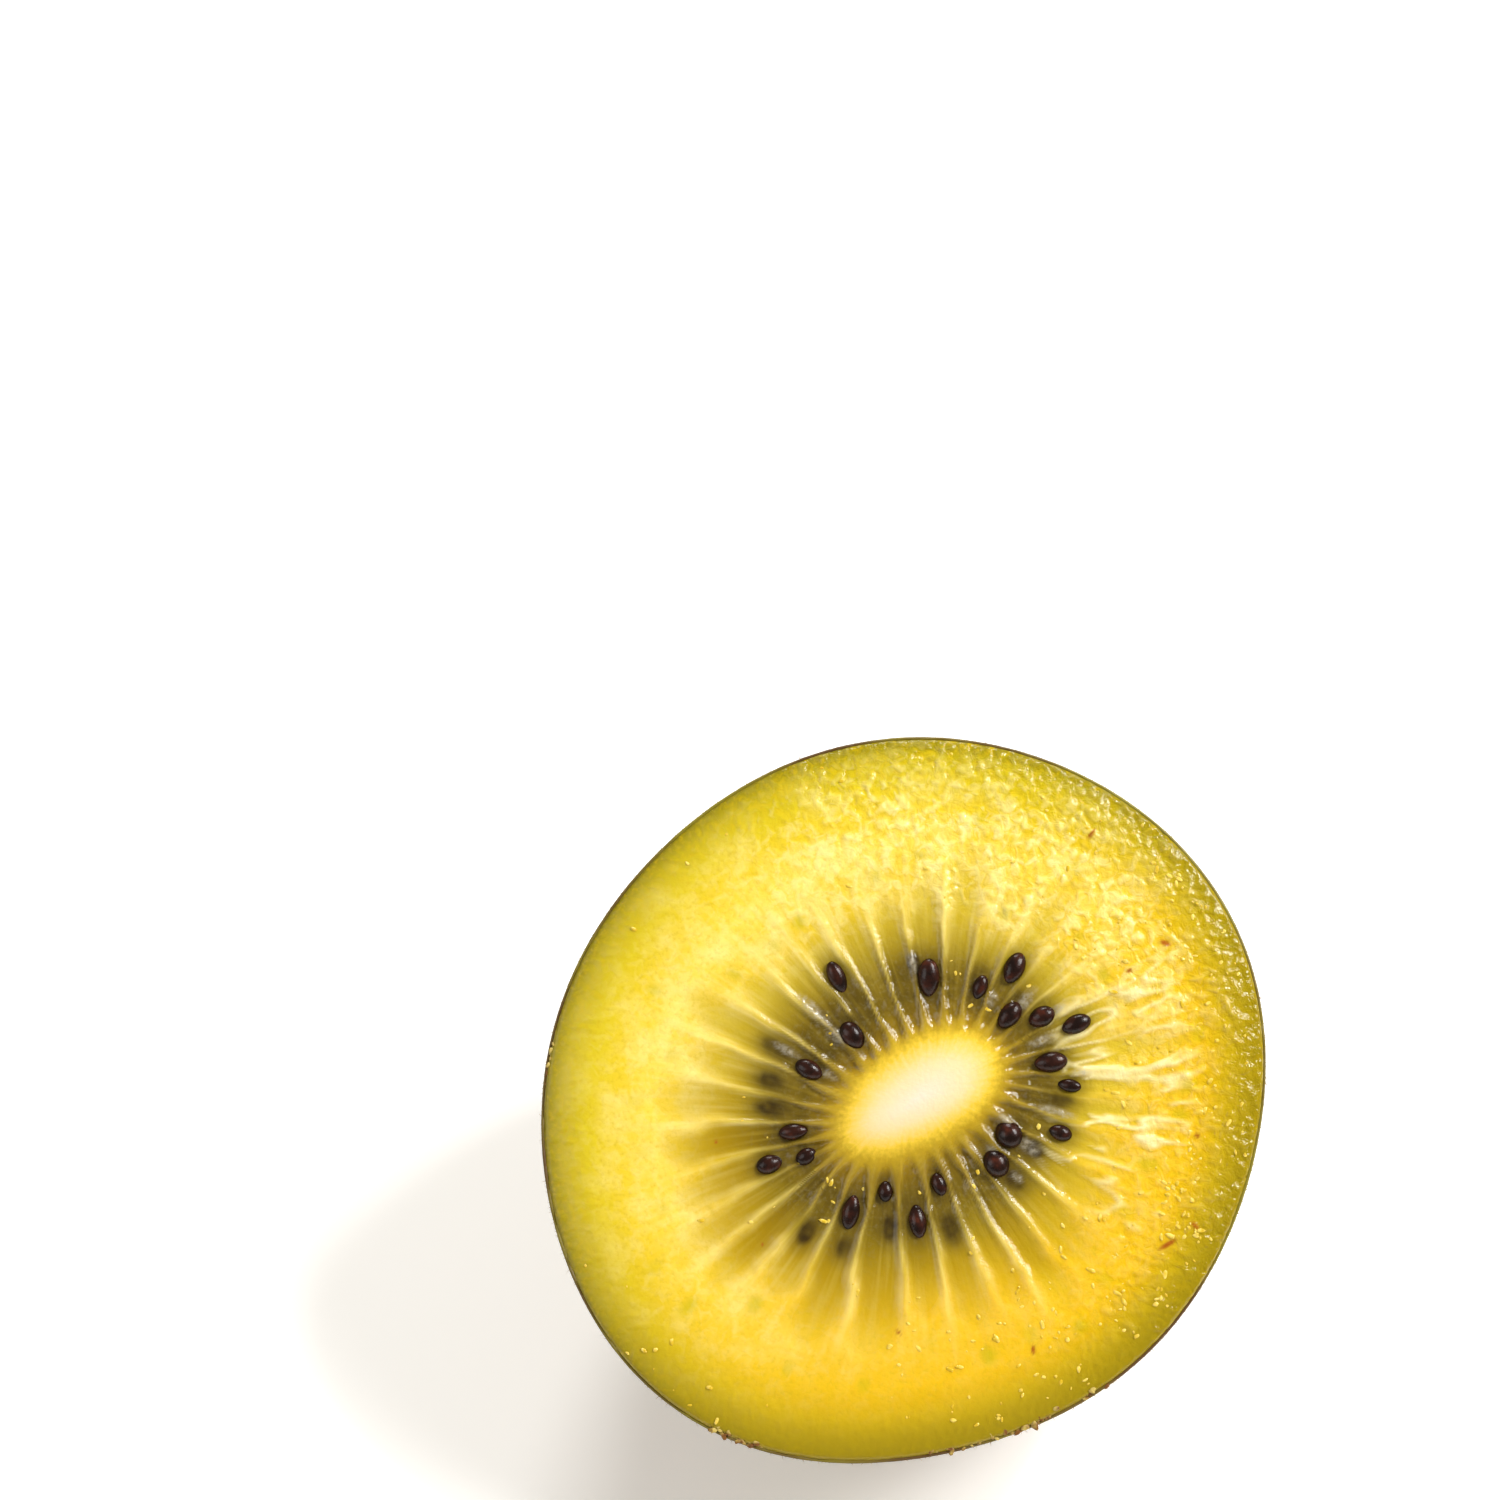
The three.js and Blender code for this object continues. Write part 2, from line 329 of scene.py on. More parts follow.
def add(tree, kind, sockets=None, stops=None, **settings):
    """Adds a node. Sockets maps a name or number to a value or to another node's output."""
    made = tree.nodes.new("ShaderNode" + kind)
    for name, value in settings.items():
        setattr(made, name, value)
    for place, value in (sockets or {}).items():
        if isinstance(value, bpy.types.NodeSocket):
            tree.links.new(value, made.inputs[place])
        else:
            made.inputs[place].default_value = value
    if stops:
        ramp = made.color_ramp
        while len(ramp.elements) < len(stops):
            ramp.elements.new(1)
        for element, (position, colour) in zip(ramp.elements, stops):
            element.position = position
            element.color = linear(colour) if isinstance(colour, str) else (colour,) * 3 + (1,)
    return made


# %% [markdown]
# ## The flesh as a mesh
# The cut face needs small, even faces all over, for the rays and the wet grain. A spun disc would
# crowd them in the middle and starve the rim. A square grid pushed out into a disc keeps them
# even, and its edge is then extruded down along the inside of the skin and closed.

# %% Grid to disc
SKIN_THICKNESS = 0.22
GRID_CELLS = 268
FLESH_RINGS = 12
FLESH_LAST_TURN = math.radians(74)
flesh_scale = 1 - SKIN_THICKNESS / FACE_RADIUS


def disc_place(points):
    """Share and bearing for the points of a square from -1 to 1, ring by ring."""
    u, v = points[:, 0], points[:, 1]
    share = np.maximum(np.abs(u), np.abs(v))
    side = np.abs(u) >= np.abs(v)
    slope = np.divide(np.where(side, v, u), np.where(side, u, v), where=share > 0)
    slope = np.where(share > 0, slope, 0)
    bearing = np.where(side, slope * math.pi / 4, math.pi / 2 - slope * math.pi / 4)
    return share, bearing + np.where(np.where(side, u, v) < 0, math.pi, 0)


def flesh_side(shape, rim):
    """Extrudes the rim down along the inside of the skin, ring by ring, and closes it."""
    for turn in np.linspace(0, FLESH_LAST_TURN, FLESH_RINGS + 1)[1:]:
        made = bmesh.ops.extrude_edge_only(shape, edges=rim)["geom"]
        rim = [item for item in made if isinstance(item, bmesh.types.BMEdge)]
        share, depth = side_profile(turn)
        for corner in (item for item in made if isinstance(item, bmesh.types.BMVert)):
            bearing = math.atan2(corner.co.y, corner.co.x)
            radius = flesh_scale * share * outline(bearing, depth)
            place = (radius * math.cos(bearing), radius * math.sin(bearing), -depth * flesh_scale)
            corner.co = place
    bmesh.ops.contextual_create(shape, geom=rim)


flesh_shape = bmesh.new()
bmesh.ops.create_grid(flesh_shape, x_segments=GRID_CELLS, y_segments=GRID_CELLS, size=1)
flesh_shape.verts.ensure_lookup_table()
square = np.array([corner.co for corner in flesh_shape.verts])
face_share, face_bearing = disc_place(square)
flat_face = face_point(face_share, face_bearing) * flesh_scale
for corner, (x, y) in zip(flesh_shape.verts, flat_face):
    corner.co = (x, y, 0)
flesh_side(flesh_shape, [edge for edge in flesh_shape.edges if edge.is_boundary])
flesh_mesh = to_mesh(flesh_shape, "flesh")
on_face = np.arange(len(flesh_mesh.vertices)) < len(square)
print("corners on the face:", int(on_face.sum()), "of", len(flesh_mesh.vertices))

# %% [markdown]
# ## What lies where on the face
# Each corner of the face learns how far it is from the nearest ray and from the middle of its
# chamber. From that come soft masks: the chamber's tongue of clear flesh, the ray's pale line,
# the seeds that shine through from under the cut, the cloudy gel round the open seeds, whose pale
# grey is partly its sheen painted on, the green dots of the veins and a few rusty flecks. Every
# chamber and ray differs a little, by a seeded draw. On one side, called golden here, the chambers
# run out wider and stay clear for longer.

# %% Masks of rays and chambers
CHAMBER_REACHES = (0.55, 0.72)
FAR_CHAMBERS = 0.2
RAY_STRENGTHS = (0.45, 1.0)
RAY_REACHES = (0.55, 0.8)
CHAMBER_BEGIN = 0.135
RAY_HALF_WIDTH = 0.13
GOLDEN_TURN = math.radians(-105)

draw = np.random.default_rng(7)
chamber_bearing = count_bearing(np.arange(ray_total) + 0.5)
chamber_reach = draw.uniform(*CHAMBER_REACHES, ray_total) - 0.07 * np.sin(chamber_bearing)
chamber_reach += 0.1 * (draw.uniform(0, 1, ray_total) < FAR_CHAMBERS)
chamber_tone = draw.uniform(0.0, 1.0, ray_total)
ray_strength = draw.uniform(*RAY_STRENGTHS, ray_total)
ray_reach = draw.uniform(*RAY_REACHES, ray_total)
draw.random(ray_total)  # draws set aside, so that the later ones stay the same


def noise_at(points, size):
    """Noise at points in mm, or in any other unit that the size is in."""
    return np.array([noise.noise(Vector(p) / size) for p in points])


def fractal_at(points, size, roughness=1.0, octaves=3):
    """Noise with finer noise on it, at points."""
    return np.array([noise.fractal(Vector(p) / size, roughness, 2.0, octaves) for p in points])


def wander(points, size, seed):
    """Smooth noise between about -1 and 1 at points in mm, with features of a size in mm."""
    offset = Vector((seed * 7.3, seed * 3.1, seed * 5.7))
    return np.array([noise.noise(Vector((x, y, 0)) / size + offset) for x, y in points])


swerve = 0.035 * wander(flat_face, 4, 1) + 0.01 * wander(flat_face, 1.3, 10)
count = chamber_count(face_bearing + swerve)
ray_number = np.round(count).astype(int) % ray_total
chamber_number = np.floor(count).astype(int) % ray_total
chamber_middle = face_point(face_share, count_bearing(np.floor(count) + 0.5))
ray_line = face_point(face_share, count_bearing(np.round(count)))
bent_face = face_point(face_share, count_bearing(count))
from_middle = np.linalg.norm(bent_face - chamber_middle, axis=1)
from_ray = np.linalg.norm(bent_face - ray_line, axis=1)
half_width = from_middle + from_ray

golden = smooth(-0.4, 0.6, np.cos(face_bearing - GOLDEN_TURN))
along = (face_share - CHAMBER_BEGIN) / (chamber_reach[chamber_number] - CHAMBER_BEGIN)
tongue = np.clip(along / 0.3, 0, 1) ** 0.6 * np.clip(1 - along**8, 0, 1) ** 0.5
fill = 0.94 - (0.2 - 0.14 * golden) * smooth(0.3, 0.55, face_share)
softness = 0.14 + 0.7 * smooth(0.25, 0.62, face_share)
chamber_edge = tongue * fill * half_width - from_middle
chamber = smooth(-softness, softness, chamber_edge) * smooth(0.0, 0.12, along) * (along < 1.2)
chamber *= 1 - smooth(0.62, 1.18, along)
past_reach = face_share - ray_reach[ray_number]
ray_fade = smooth(0.13, 0.2, face_share) * (1 - smooth(-0.3, 0.05, past_reach))
ray_width = RAY_HALF_WIDTH * (0.65 + 2.9 * smooth(0.25, 0.7, face_share))
ray = np.exp(-((from_ray / ray_width) ** 2)) * ray_fade * ray_strength[ray_number]
print("share of the face in chambers:", round(float(chamber.mean()), 3))


# %% Masks of seeds, veins and flecks
def oval_mask(x, y, length, width, soft=0.3, turn=None):
    """1 inside an oval on the face and 0 outside. Without a turn it lies along its ray."""
    centre = CORE_CENTRE + (x, y)
    if turn is None:
        turn = ray_turn(centre)
    offset = flat_face - centre
    lengthwise = offset[:, 0] * math.cos(turn) + offset[:, 1] * math.sin(turn)
    crosswise = offset[:, 1] * math.cos(turn) - offset[:, 0] * math.sin(turn)
    reach = np.hypot(lengthwise / (length / 2), crosswise / (width / 2))
    return 1 - smooth(1 - soft, 1 + soft, reach)


FLECKS = [
    (11.5, 19.5, 0.9, 0.25), (17.1, 11.9, 0.8, 0.4), (14.6, 9.8, 0.45, 0.3),
    (18.1, -9.5, 1.3, 0.35), (20.0, -8.1, 0.8, 0.3), (8.9, -17.4, 0.6, 0.3),
    (19.9, -1.7, 0.35, 0.3), (-0.7, -16.7, 0.5, 0.2), (-14.4, -3.9, 0.25, 0.2),
    (-10.7, -11.0, 0.25, 0.2),
]
GEL_AND_SHEEN = [
    (-7.9, 5.9, 2.8, 0.7), (-6.1, 4.1, 1.6, 0.8), (-9.7, 2.9, 2.0, 0.5),
    (-6.5, 1.3, 1.3, 0.5), (-0.9, 9.4, 1.7, 0.5), (4.9, 7.2, 1.2, 0.6),
    (7.2, 7.2, 2.2, 0.7), (9.6, 6.8, 1.2, 0.5), (8.6, 4.5, 1.9, 0.6),
    (11.6, 2.4, 1.6, 0.5), (9.8, -0.5, 2.6, 0.5), (6.2, -1.2, 1.4, 0.5),
    (8.0, -3.1, 1.4, 0.8), (7.2, -5.3, 1.0, 0.5), (5.3, -3.4, 1.0, 0.4),
]
burial = np.random.default_rng(11)
buried = np.max([
    oval_mask(*seed, burial.uniform(0.3, 0.6)) * burial.uniform(0.75, 1.0)
    for seed in BURIED_SEEDS
], axis=0)
buried *= 0.8 + 0.4 * wander(flat_face, 0.5, 12)
# Cloudy gel near the open seeds. Its pale grey in the material is partly its own colour and partly
# painted sheen.
gel_and_sheen = np.max([oval_mask(*oval, 0.5) for oval in GEL_AND_SHEEN], axis=0)
gel_and_sheen *= np.clip(0.75 + 0.9 * wander(flat_face, 0.45, 13), 0, 1)
seed_shade = np.max([
    oval_mask(x, y, length + 1.2, width + 1.0, 0.5)
    for x, y, length, width in OPEN_SEEDS + BURIED_SEEDS
], axis=0)
fleck = np.max([oval_mask(*oval, 0.5, turn=0.9 * oval[0]) for oval in FLECKS], axis=0)
ray *= 1 - seed_shade
vein = np.zeros(len(flat_face))
for number in range(ray_total):
    bearing = count_bearing(number + 0.5)
    share = chamber_reach[number] + draw.uniform(0.02, 0.07)
    x, y = face_point(share, bearing) - CORE_CENTRE
    mask = oval_mask(x, y, draw.uniform(0.8, 1.6), draw.uniform(0.7, 1.1), 0.8)
    vein = np.maximum(vein, mask * draw.uniform(0.2, 1.0))

# %% [markdown]
# ## Relief of the face
# A knife leaves the face nearly flat, then the clear chambers sink, the rays stay proud and the
# core stands a little higher. The outer flesh is a heap of swollen cells: fine and even on the
# left, and wet and crinkled towards the upper right, where it catches the light. All of that is
# in the mesh, because bumps as tall as these have to show from the side as well.

# %% Crinkles of the wet flesh
WET_TURN = math.radians(40)
PAINTED_SHADE_TURN = math.radians(-40)
FOLD_TURN = math.radians(7)


def crinkle(points, seed):
    """Thin winding crests between 0 and 1, at points given in noise units."""
    offset = Vector((seed * 3.7, seed * 9.1, seed * 0.5))
    values = np.array([noise.noise(Vector(p) + offset) for p in points])
    return np.clip(1 - 2.4 * np.abs(values), 0, 1) ** 1.5


def towards(turn):
    """How far a corner lies from the middle of the face in a direction, from -1 to 1."""
    return (flat_face[:, 0] * math.cos(turn) + flat_face[:, 1] * math.sin(turn)) / FACE_RADIUS


flat_points = np.column_stack([flat_face, np.zeros(len(flat_face))])
warp = np.column_stack([wander(flat_face, 1.7, 3), wander(flat_face, 1.7, 4)])
warped = flat_points + np.column_stack([0.55 * warp, np.zeros(len(flat_face))])
winding = crinkle(warped / 0.7, 1)
blobs = noise_at(warped, 0.62)
along_rays = np.column_stack(
    [17 * np.cos(face_bearing), 17 * np.sin(face_bearing), 6 * face_share + 0.6 * warp[:, 0]]
)
folds = crinkle(along_rays + 0.25 * warped / 1.7, 2)
wet = smooth(-0.25, 0.55, towards(WET_TURN) + 0.2 * wander(flat_face, 8, 2))
# The lower right side of the face. The outer flesh is painted a deeper yellow there as painted
# shade, and left paler elsewhere as painted light.
painted_shade_side = smooth(-0.6, 0.7, towards(PAINTED_SHADE_TURN))
right = smooth(0.72, 0.97, np.cos(face_bearing - FOLD_TURN))
print("mean wetness:", round(float(wet.mean()), 2))

# %% Raise and sink the face
CORE_RISE = 0.5
CORE_SLOPE = 0.06
CHAMBER_SINK = 0.3
RAY_RISE = 0.12
EDGE_SINK = 0.35
EDGE_BEGIN = 0.86
RIM_ROUND = 0.4
RIM_DROP = 0.15
GRAIN_RISE = 0.15
FOLD_RISE = 0.24
GRIT_RISE = 0.07
UNEVEN_CHAMBER = 0.16
SWELL = 0.12
GEL_RISE = 0.14
BELOW_FACE = 0.02

outer = smooth(0.4, 0.6, face_share) * (1 - 0.8 * chamber)
fold_zone = smooth(0.28, 0.45, face_share) * (1 - smooth(0.68, 0.88, face_share)) * painted_shade_side * right
knobs = 0.45 * winding * (0.6 + blobs) + 0.7 * smooth(-0.1, 0.5, blobs)
crowd = 0.35 + 0.65 * smooth(-0.3, 0.3, wander(flat_face, 2.2, 8))
grain = np.clip(outer * wet * crowd * knobs * (1 - 0.7 * fold_zone), 0, 1.2)
long_patches = noise_at(along_rays, 1.8)
fold = fold_zone * folds * smooth(-0.3, 0.2, long_patches)
rim_grit = smooth(0.82, 0.94, face_share) * (1 - smooth(0.985, 1, face_share))
into_rim = np.clip(1 - (1 - face_share) * FACE_RADIUS / RIM_ROUND, 0, 1)
rim_drop = RIM_DROP * (1 - np.sqrt(1 - into_rim**2))
fine_grain = noise_at(warped, 0.42)

height = CORE_RISE * (1 - smooth(0, CORE_SHARE + CORE_SLOPE, face_share))
height -= EDGE_SINK * smooth(EDGE_BEGIN, 1, face_share) ** 2 + rim_drop
height -= CHAMBER_SINK * chamber
height += RAY_RISE * ray * smooth(0.18, 0.4, face_share) * (1 - smooth(0.5, 0.9, face_share))
height += GRAIN_RISE * grain + FOLD_RISE * fold + outer * (0.02 + 0.06 * wet) * fine_grain
height += GRIT_RISE * rim_grit * np.clip(fine_grain, 0, 1)
inner_chamber = 1 - smooth(0.3, 0.42, face_share)
height += chamber * UNEVEN_CHAMBER * wander(flat_face, 0.7, 5) * inner_chamber
height += SWELL * wander(flat_face, 6, 6) + GEL_RISE * gel_and_sheen
points = corners(flesh_mesh)
points[on_face, 2] = height
points[~on_face, 2] -= BELOW_FACE
set_corners(flesh_mesh, points)
print("face relief from", round(height.min(), 2), "to", round(height.max(), 2), "mm")


# %% Keep the masks on the mesh
def whole(values, rest=0.0):
    """Values of the face's corners, with one value for all the corners below it."""
    shape = (len(flesh_mesh.vertices), *values.shape[1:])
    every = np.full(shape, rest, float)
    every[on_face] = values
    return every


FIBRE_TURNS = 40
across = FIBRE_TURNS * np.cos(face_bearing), FIBRE_TURNS * np.sin(face_bearing)
fibre = np.stack([*across, 5 * face_share], axis=-1)
face_masks = {
    "share": face_share,
    "chamber": chamber,
    "tone": chamber_tone[chamber_number],
    "ray": ray,
    "buried": buried,
    "seed_shade": seed_shade,
    "gel_and_sheen": gel_and_sheen,
    "vein": vein,
    "fleck": fleck,
    "grain": grain,
    "fold": fold,
    "wet": wet,
    "painted_shade_side": painted_shade_side,
    "golden": golden,
}
for name, values in face_masks.items():
    store(flesh_mesh, name, whole(values, 1.0 if name == "share" else 0.0))
store(flesh_mesh, "fibre", whole(fibre))
print("masks for the material:", len(face_masks))

# %% [markdown]
# ## Wet golden flesh
# Freshly cut kiwi flesh is clear, wet and full of light. Its colour runs from the cream core over
# a golden ring and olive chambers to yellow outer flesh and a greener band under the skin. A
# colour ramp over the share gives that run, and the masks lay the chambers, rays and seeds over
# it. The water film is a smooth, clear gloss over small bumps.
# Part of this colour is painted light and shade: the outer flesh is painted a deeper yellow on the
# lower right and paler on the left, the green band is partly darkened towards the rim, crests,
# folds and bump tops are painted paler and hollows darker, and the gel near the seeds has its sheen
# painted on in grey.

# %% Mixing helpers
def mix(tree, under, over, factor):
    """Lays one colour over another by a factor."""
    sockets = {"Factor": factor, "A": under, "B": over}
    return add(tree, "Mix", sockets, data_type="RGBA").outputs["Result"]


def part(tree, value, low, high, start=0.0, end=1.0):
    """Turns the range from low to high into the range from start to end, and holds it there."""
    sockets = {"Value": value, "From Min": low, "From Max": high, "To Min": start, "To Max": end}
    return add(tree, "MapRange", sockets).outputs[0]


def times(tree, first, *others):
    """Several values multiplied."""
    for other in others:
        first = add(tree, "Math", {0: first, 1: other}, operation="MULTIPLY").outputs[0]
    return first


def plus(tree, one, other):
    """One value plus another."""
    return add(tree, "Math", {0: one, 1: other}, operation="ADD").outputs[0]


def lay(tree, under, *coats):
    """Lays colours over one another, each with its own factor."""
    for code, factor in coats:
        under = mix(tree, under, linear(code), factor)
    return under


def pattern(tree, size, detail=2.0):
    """Noise with patches of a real size in mm, fixed to the piece."""
    place = add(tree, "TexCoord").outputs["Object"]
    sockets = {"Vector": place, "Scale": 1 / (size * MM), "Detail": detail}
    return add(tree, "TexNoise", sockets).outputs["Fac"]


def surface(tree, sockets):
    """Ends a material with its one surface shader."""
    shader = add(tree, "BsdfPrincipled", sockets)
    add(tree, "OutputMaterial", {"Surface": shader.outputs[0]})


# %% Colours of the flesh
CELL = 0.3
MOTTLE = 2.6
FROST = 0.8
# The band under the skin is greener in the fruit itself, and its darkening towards the rim is
# partly painted shade.
FLESH_STOPS = [
    (0.0, "#fde3cc"),
    (0.06, "#fddca8"),
    (0.095, "#fbd272"),
    (0.12, "#eac63a"),
    (0.15, "#bd9c20"),
    (0.2, "#957a13"),
    (0.3, "#947a14"),
    (0.4, "#ae961a"),
    (0.48, "#cbae24"),
    (0.58, "#eac93a"),
    (0.7, "#fad951"),
    (0.8, "#ebcd2c"),
    (0.88, "#dbc420"),
    (0.95, "#bfaa14"),
    (0.985, "#9c8c0c"),
    (1.0, "#82750b"),
]
CHAMBER_STOPS = [
    (0.14, "#b98f18"),
    (0.19, "#876a12"),
    (0.26, "#534312"),
    (0.35, "#5f4c0e"),
    (0.42, "#84690a"),
    (0.5, "#9e7e06"),
    (0.6, "#b08f08"),
    (0.7, "#d0b218"),
]


# %% What the flesh material reads
def flesh_values(tree):
    """The masks kept on the mesh, five noise patterns and the zone of the outer flesh, by name."""
    place = add(tree, "TexCoord").outputs["Object"]
    fibre = add(tree, "Attribute", attribute_name="fibre").outputs["Vector"]
    at = {name: add(tree, "Attribute", attribute_name=name).outputs["Fac"] for name in face_masks}
    patterns = {
        "streak": {"Vector": fibre, "Scale": 0.8, "Detail": 1.5},
        "rib": {"Vector": fibre, "Scale": 0.32, "Detail": 3.0},
        "frost": {"Vector": place, "Scale": 1 / (FROST * MM), "Detail": 3.0, "Distortion": 0.6},
    }
    for name, sockets in patterns.items():
        at[name] = add(tree, "TexNoise", sockets).outputs["Fac"]
    at["fine"] = pattern(tree, CELL)
    at["mottle"] = pattern(tree, MOTTLE, 3.0)
    at["outer"] = part(tree, at["share"], 0.42, 0.6)
    return at


# %% [markdown]
# Four functions build the flesh. The first lays out the run of colour from the core to the rim,
# with an edge of the core that is neither round nor sharp. The second warms and frosts the outer
# flesh and paints light and shade on it: a deeper yellow on the lower right as painted shade, a
# paler left as painted light, painted highlights on the crests and bump tops and painted shade in
# the hollows. The third colours the chambers, and the fourth raises the small bumps that are too
# fine for the mesh.

# %% Run of colour from the core
CORE_FRAY = 0.009
CORE_LEAN = 0.01


def core_to_rim(tree, at):
    """The run of colour over the share, shifted a little near the core so that its edge frays."""
    share = at["share"]
    spokes = part(tree, at["rib"], 0.3, 0.7, -CORE_FRAY, CORE_FRAY)
    fuzz = part(tree, at["fine"], 0.3, 0.7, -CORE_FRAY, CORE_FRAY)
    lopsided = part(tree, at["golden"], 0, 1, -CORE_LEAN, CORE_LEAN)
    shifted = plus(tree, plus(tree, share, spokes), plus(tree, fuzz, lopsided))
    near_core = times(tree, part(tree, share, 0.04, 0.13), part(tree, share, 0.35, 0.1))
    place = mix(tree, share, shifted, near_core)
    return add(tree, "ValToRGB", {"Fac": place}, stops=FLESH_STOPS).outputs["Color"]


# %% Outer flesh
def outer_flesh(tree, at, colour):
    """Warms the yellow outer flesh on the lower right as painted shade, and frosts it where it is
    wet.
    """
    share, painted_shade_side, outer = at["share"], at["painted_shade_side"], at["outer"]
    # Painted shade: a deeper, warmer yellow on the lower right side.
    warm_shade = times(
        tree,
        outer,
        part(tree, painted_shade_side, 0.0, 1.0, 0.0, 0.85),
        part(tree, share, 0.98, 0.85),
    )
    # Pale mottle of the cells, held back on the lower right, so that the rest is paler as painted
    # light.
    pale = times(
        tree,
        outer,
        part(tree, at["mottle"], 0.45, 0.75, 0.0, 0.6),
        part(tree, painted_shade_side, 0.2, 0.9, 1.0, 0.1),
        part(tree, share, 0.98, 0.75),
    )
    between_cells = times(tree, outer, part(tree, at["fine"], 0.5, 0.25, 0.0, 0.4))
    off_band = part(tree, share, 0.97, 0.76, 0.12, 1.0)
    # Painted highlight: the crests of the crinkles are painted paler.
    crests = times(
        tree,
        off_band,
        part(tree, at["grain"], 0.1, 0.9, 0.0, 0.45),
        part(tree, painted_shade_side, 0.5, 1.0, 1.0, 0.4),
    )
    frosty_zone = times(tree, outer, part(tree, at["wet"], 0.0, 1.0, 0.3, 1.0))
    # Painted shade: darker yellow in the hollows of the frost bumps.
    furrow_shade = times(tree, frosty_zone, part(tree, at["frost"], 0.46, 0.36, 0.0, 0.35))
    # Pale cells on the tops of the frost bumps, partly their own colour and partly painted
    # highlight.
    frost_and_highlight = times(
        tree,
        frosty_zone,
        part(tree, at["frost"], 0.48, 0.66, 0.0, 0.65),
        off_band,
        part(tree, painted_shade_side, 0.4, 1.0, 1.0, 0.25),
    )
    # Painted shade: the band under the peel is darker on the lower right side.
    peel_band_shade = times(tree, painted_shade_side, part(tree, share, 0.8, 0.95, 0.0, 0.75))
    threads = times(
        tree,
        part(tree, at["streak"], 0.45, 0.8, 0.0, 0.5),
        part(tree, share, 0.85, 0.5),
        part(tree, painted_shade_side, 0.2, 0.9, 1.0, 0.4),
        part(tree, share, 0.3, 0.5),
    )
    ribs = times(
        tree,
        part(tree, at["rib"], 0.52, 0.7, 0.0, 0.3),
        part(tree, share, 0.5, 0.3),
        part(tree, share, 0.12, 0.17),
    )
    return lay(
        tree,
        colour,
        ("#eab800", warm_shade),
        ("#ffee98", pale),
        ("#cfae10", between_cells),
        ("#fff0a0", crests),
        ("#dfbd0c", furrow_shade),
        ("#fff2a6", frost_and_highlight),
        ("#9c8404", peel_band_shade),
        ("#fff0a0", threads),
        ("#dcbc48", ribs),
    )


# %% Chambers
def clear_chambers(tree, at):
    """The dark clear flesh of the chambers, greyer near the seeds and paler where it runs out."""
    share, golden = at["share"], at["golden"]
    deep = add(tree, "ValToRGB", {"Fac": share}, stops=CHAMBER_STOPS).outputs["Color"]
    grey_specks = part(tree, at["fine"], 0.5, 0.75, 0.0, 0.4)
    greyer = times(tree, grey_specks, part(tree, share, 0.5, 0.35))
    strands = part(tree, at["streak"], 0.45, 0.8, 0.0, 0.35)
    strands = times(tree, strands, part(tree, share, 0.2, 0.42, 0.2, 1.0))
    shade_side_and_wet = times(tree, at["painted_shade_side"], at["wet"])
    clearer = times(tree, part(tree, share, 0.34, 0.52), shade_side_and_wet, 0.85)
    fainter = times(tree, part(tree, share, 0.36, 0.54), part(tree, golden, 0, 1, 0.6, 0))
    return lay(
        tree,
        deep,
        ("#857c58", greyer),
        ("#c0a430", strands),
        ("#dcbc1c", clearer),
        ("#dcc640", fainter),
    )


# %% Small bumps
def flesh_bumps(tree, at):
    """Normal of the flesh, from cells over frost to long ribs."""
    share, wet = at["share"], at["wet"]
    rib_zone = part(tree, share, 0.2, 0.34)
    layers = [
        ("fine", 0.1, part(tree, wet, 0, 1, 0.25, 0.5)),
        ("frost", 0.3, times(tree, at["outer"], wet, 0.65)),
        ("rib", 0.3, times(tree, rib_zone, part(tree, share, 0.75, 0.5, 0.0, 0.28))),
    ]
    below = {}
    for pattern, height_mm, strength in layers:
        sockets = {"Height": at[pattern], "Distance": height_mm * MM, "Strength": strength}
        below = {"Normal": add(tree, "Bump", {**sockets, **below}).outputs["Normal"]}
    return below["Normal"]


# %% Flesh material
def flesh_material():
    """Wet clear flesh: a run of colour from the core to the rim, with the masks laid over it."""
    material, tree = new_material("wet_cut_kiwi_flesh")
    at = flesh_values(tree)
    share, streak = at["share"], at["streak"]
    colour = outer_flesh(tree, at, core_to_rim(tree, at))
    in_chamber = times(tree, at["chamber"], part(tree, at["tone"], 0, 1, 0.6, 0.97))
    colour = mix(tree, colour, clear_chambers(tree, at), in_chamber)
    lit_ray = times(
        tree,
        at["ray"],
        part(tree, streak, 0.35, 0.6, 0.25, 0.6),
        part(tree, share, 0.22, 0.42, 0.3, 1.0),
    )
    colour = lay(
        tree,
        colour,
        ("#43361c", times(tree, at["seed_shade"], 0.35)),
        ("#f6e38a", lit_ray),
        # Pale folds, partly their own colour and partly a painted highlight on their ridges.
        ("#fdf0b4", part(tree, at["fold"], 0.1, 0.8, 0.0, 0.85)),
        ("#20100a", times(tree, at["buried"], 0.9)),
        # Cloudy gel, its sheen painted on as pale grey.
        ("#b3ac98", times(tree, at["gel_and_sheen"], part(tree, at["fine"], 0.35, 0.6, 0.25, 0.75))),
        ("#b8ac00", times(tree, at["vein"], 0.55)),
        ("#a85a14", at["fleck"]),
    )
    dull = times(
        tree,
        part(tree, at["wet"], 0, 1, 0.34, 0.1),
        part(tree, at["chamber"], 0, 1, 1, 0.45),
        part(tree, at["gel_and_sheen"], 0, 1, 1, 0.5),
    )
    surface(tree, {
        "Base Color": colour,
        "Roughness": dull,
        "IOR": 1.38,
        "Normal": flesh_bumps(tree, at),
        "Subsurface Weight": 0.25,
        "Subsurface Radius": (1.0, 0.7, 0.2),
        "Subsurface Scale": 0.9 * MM,
    })
    return material


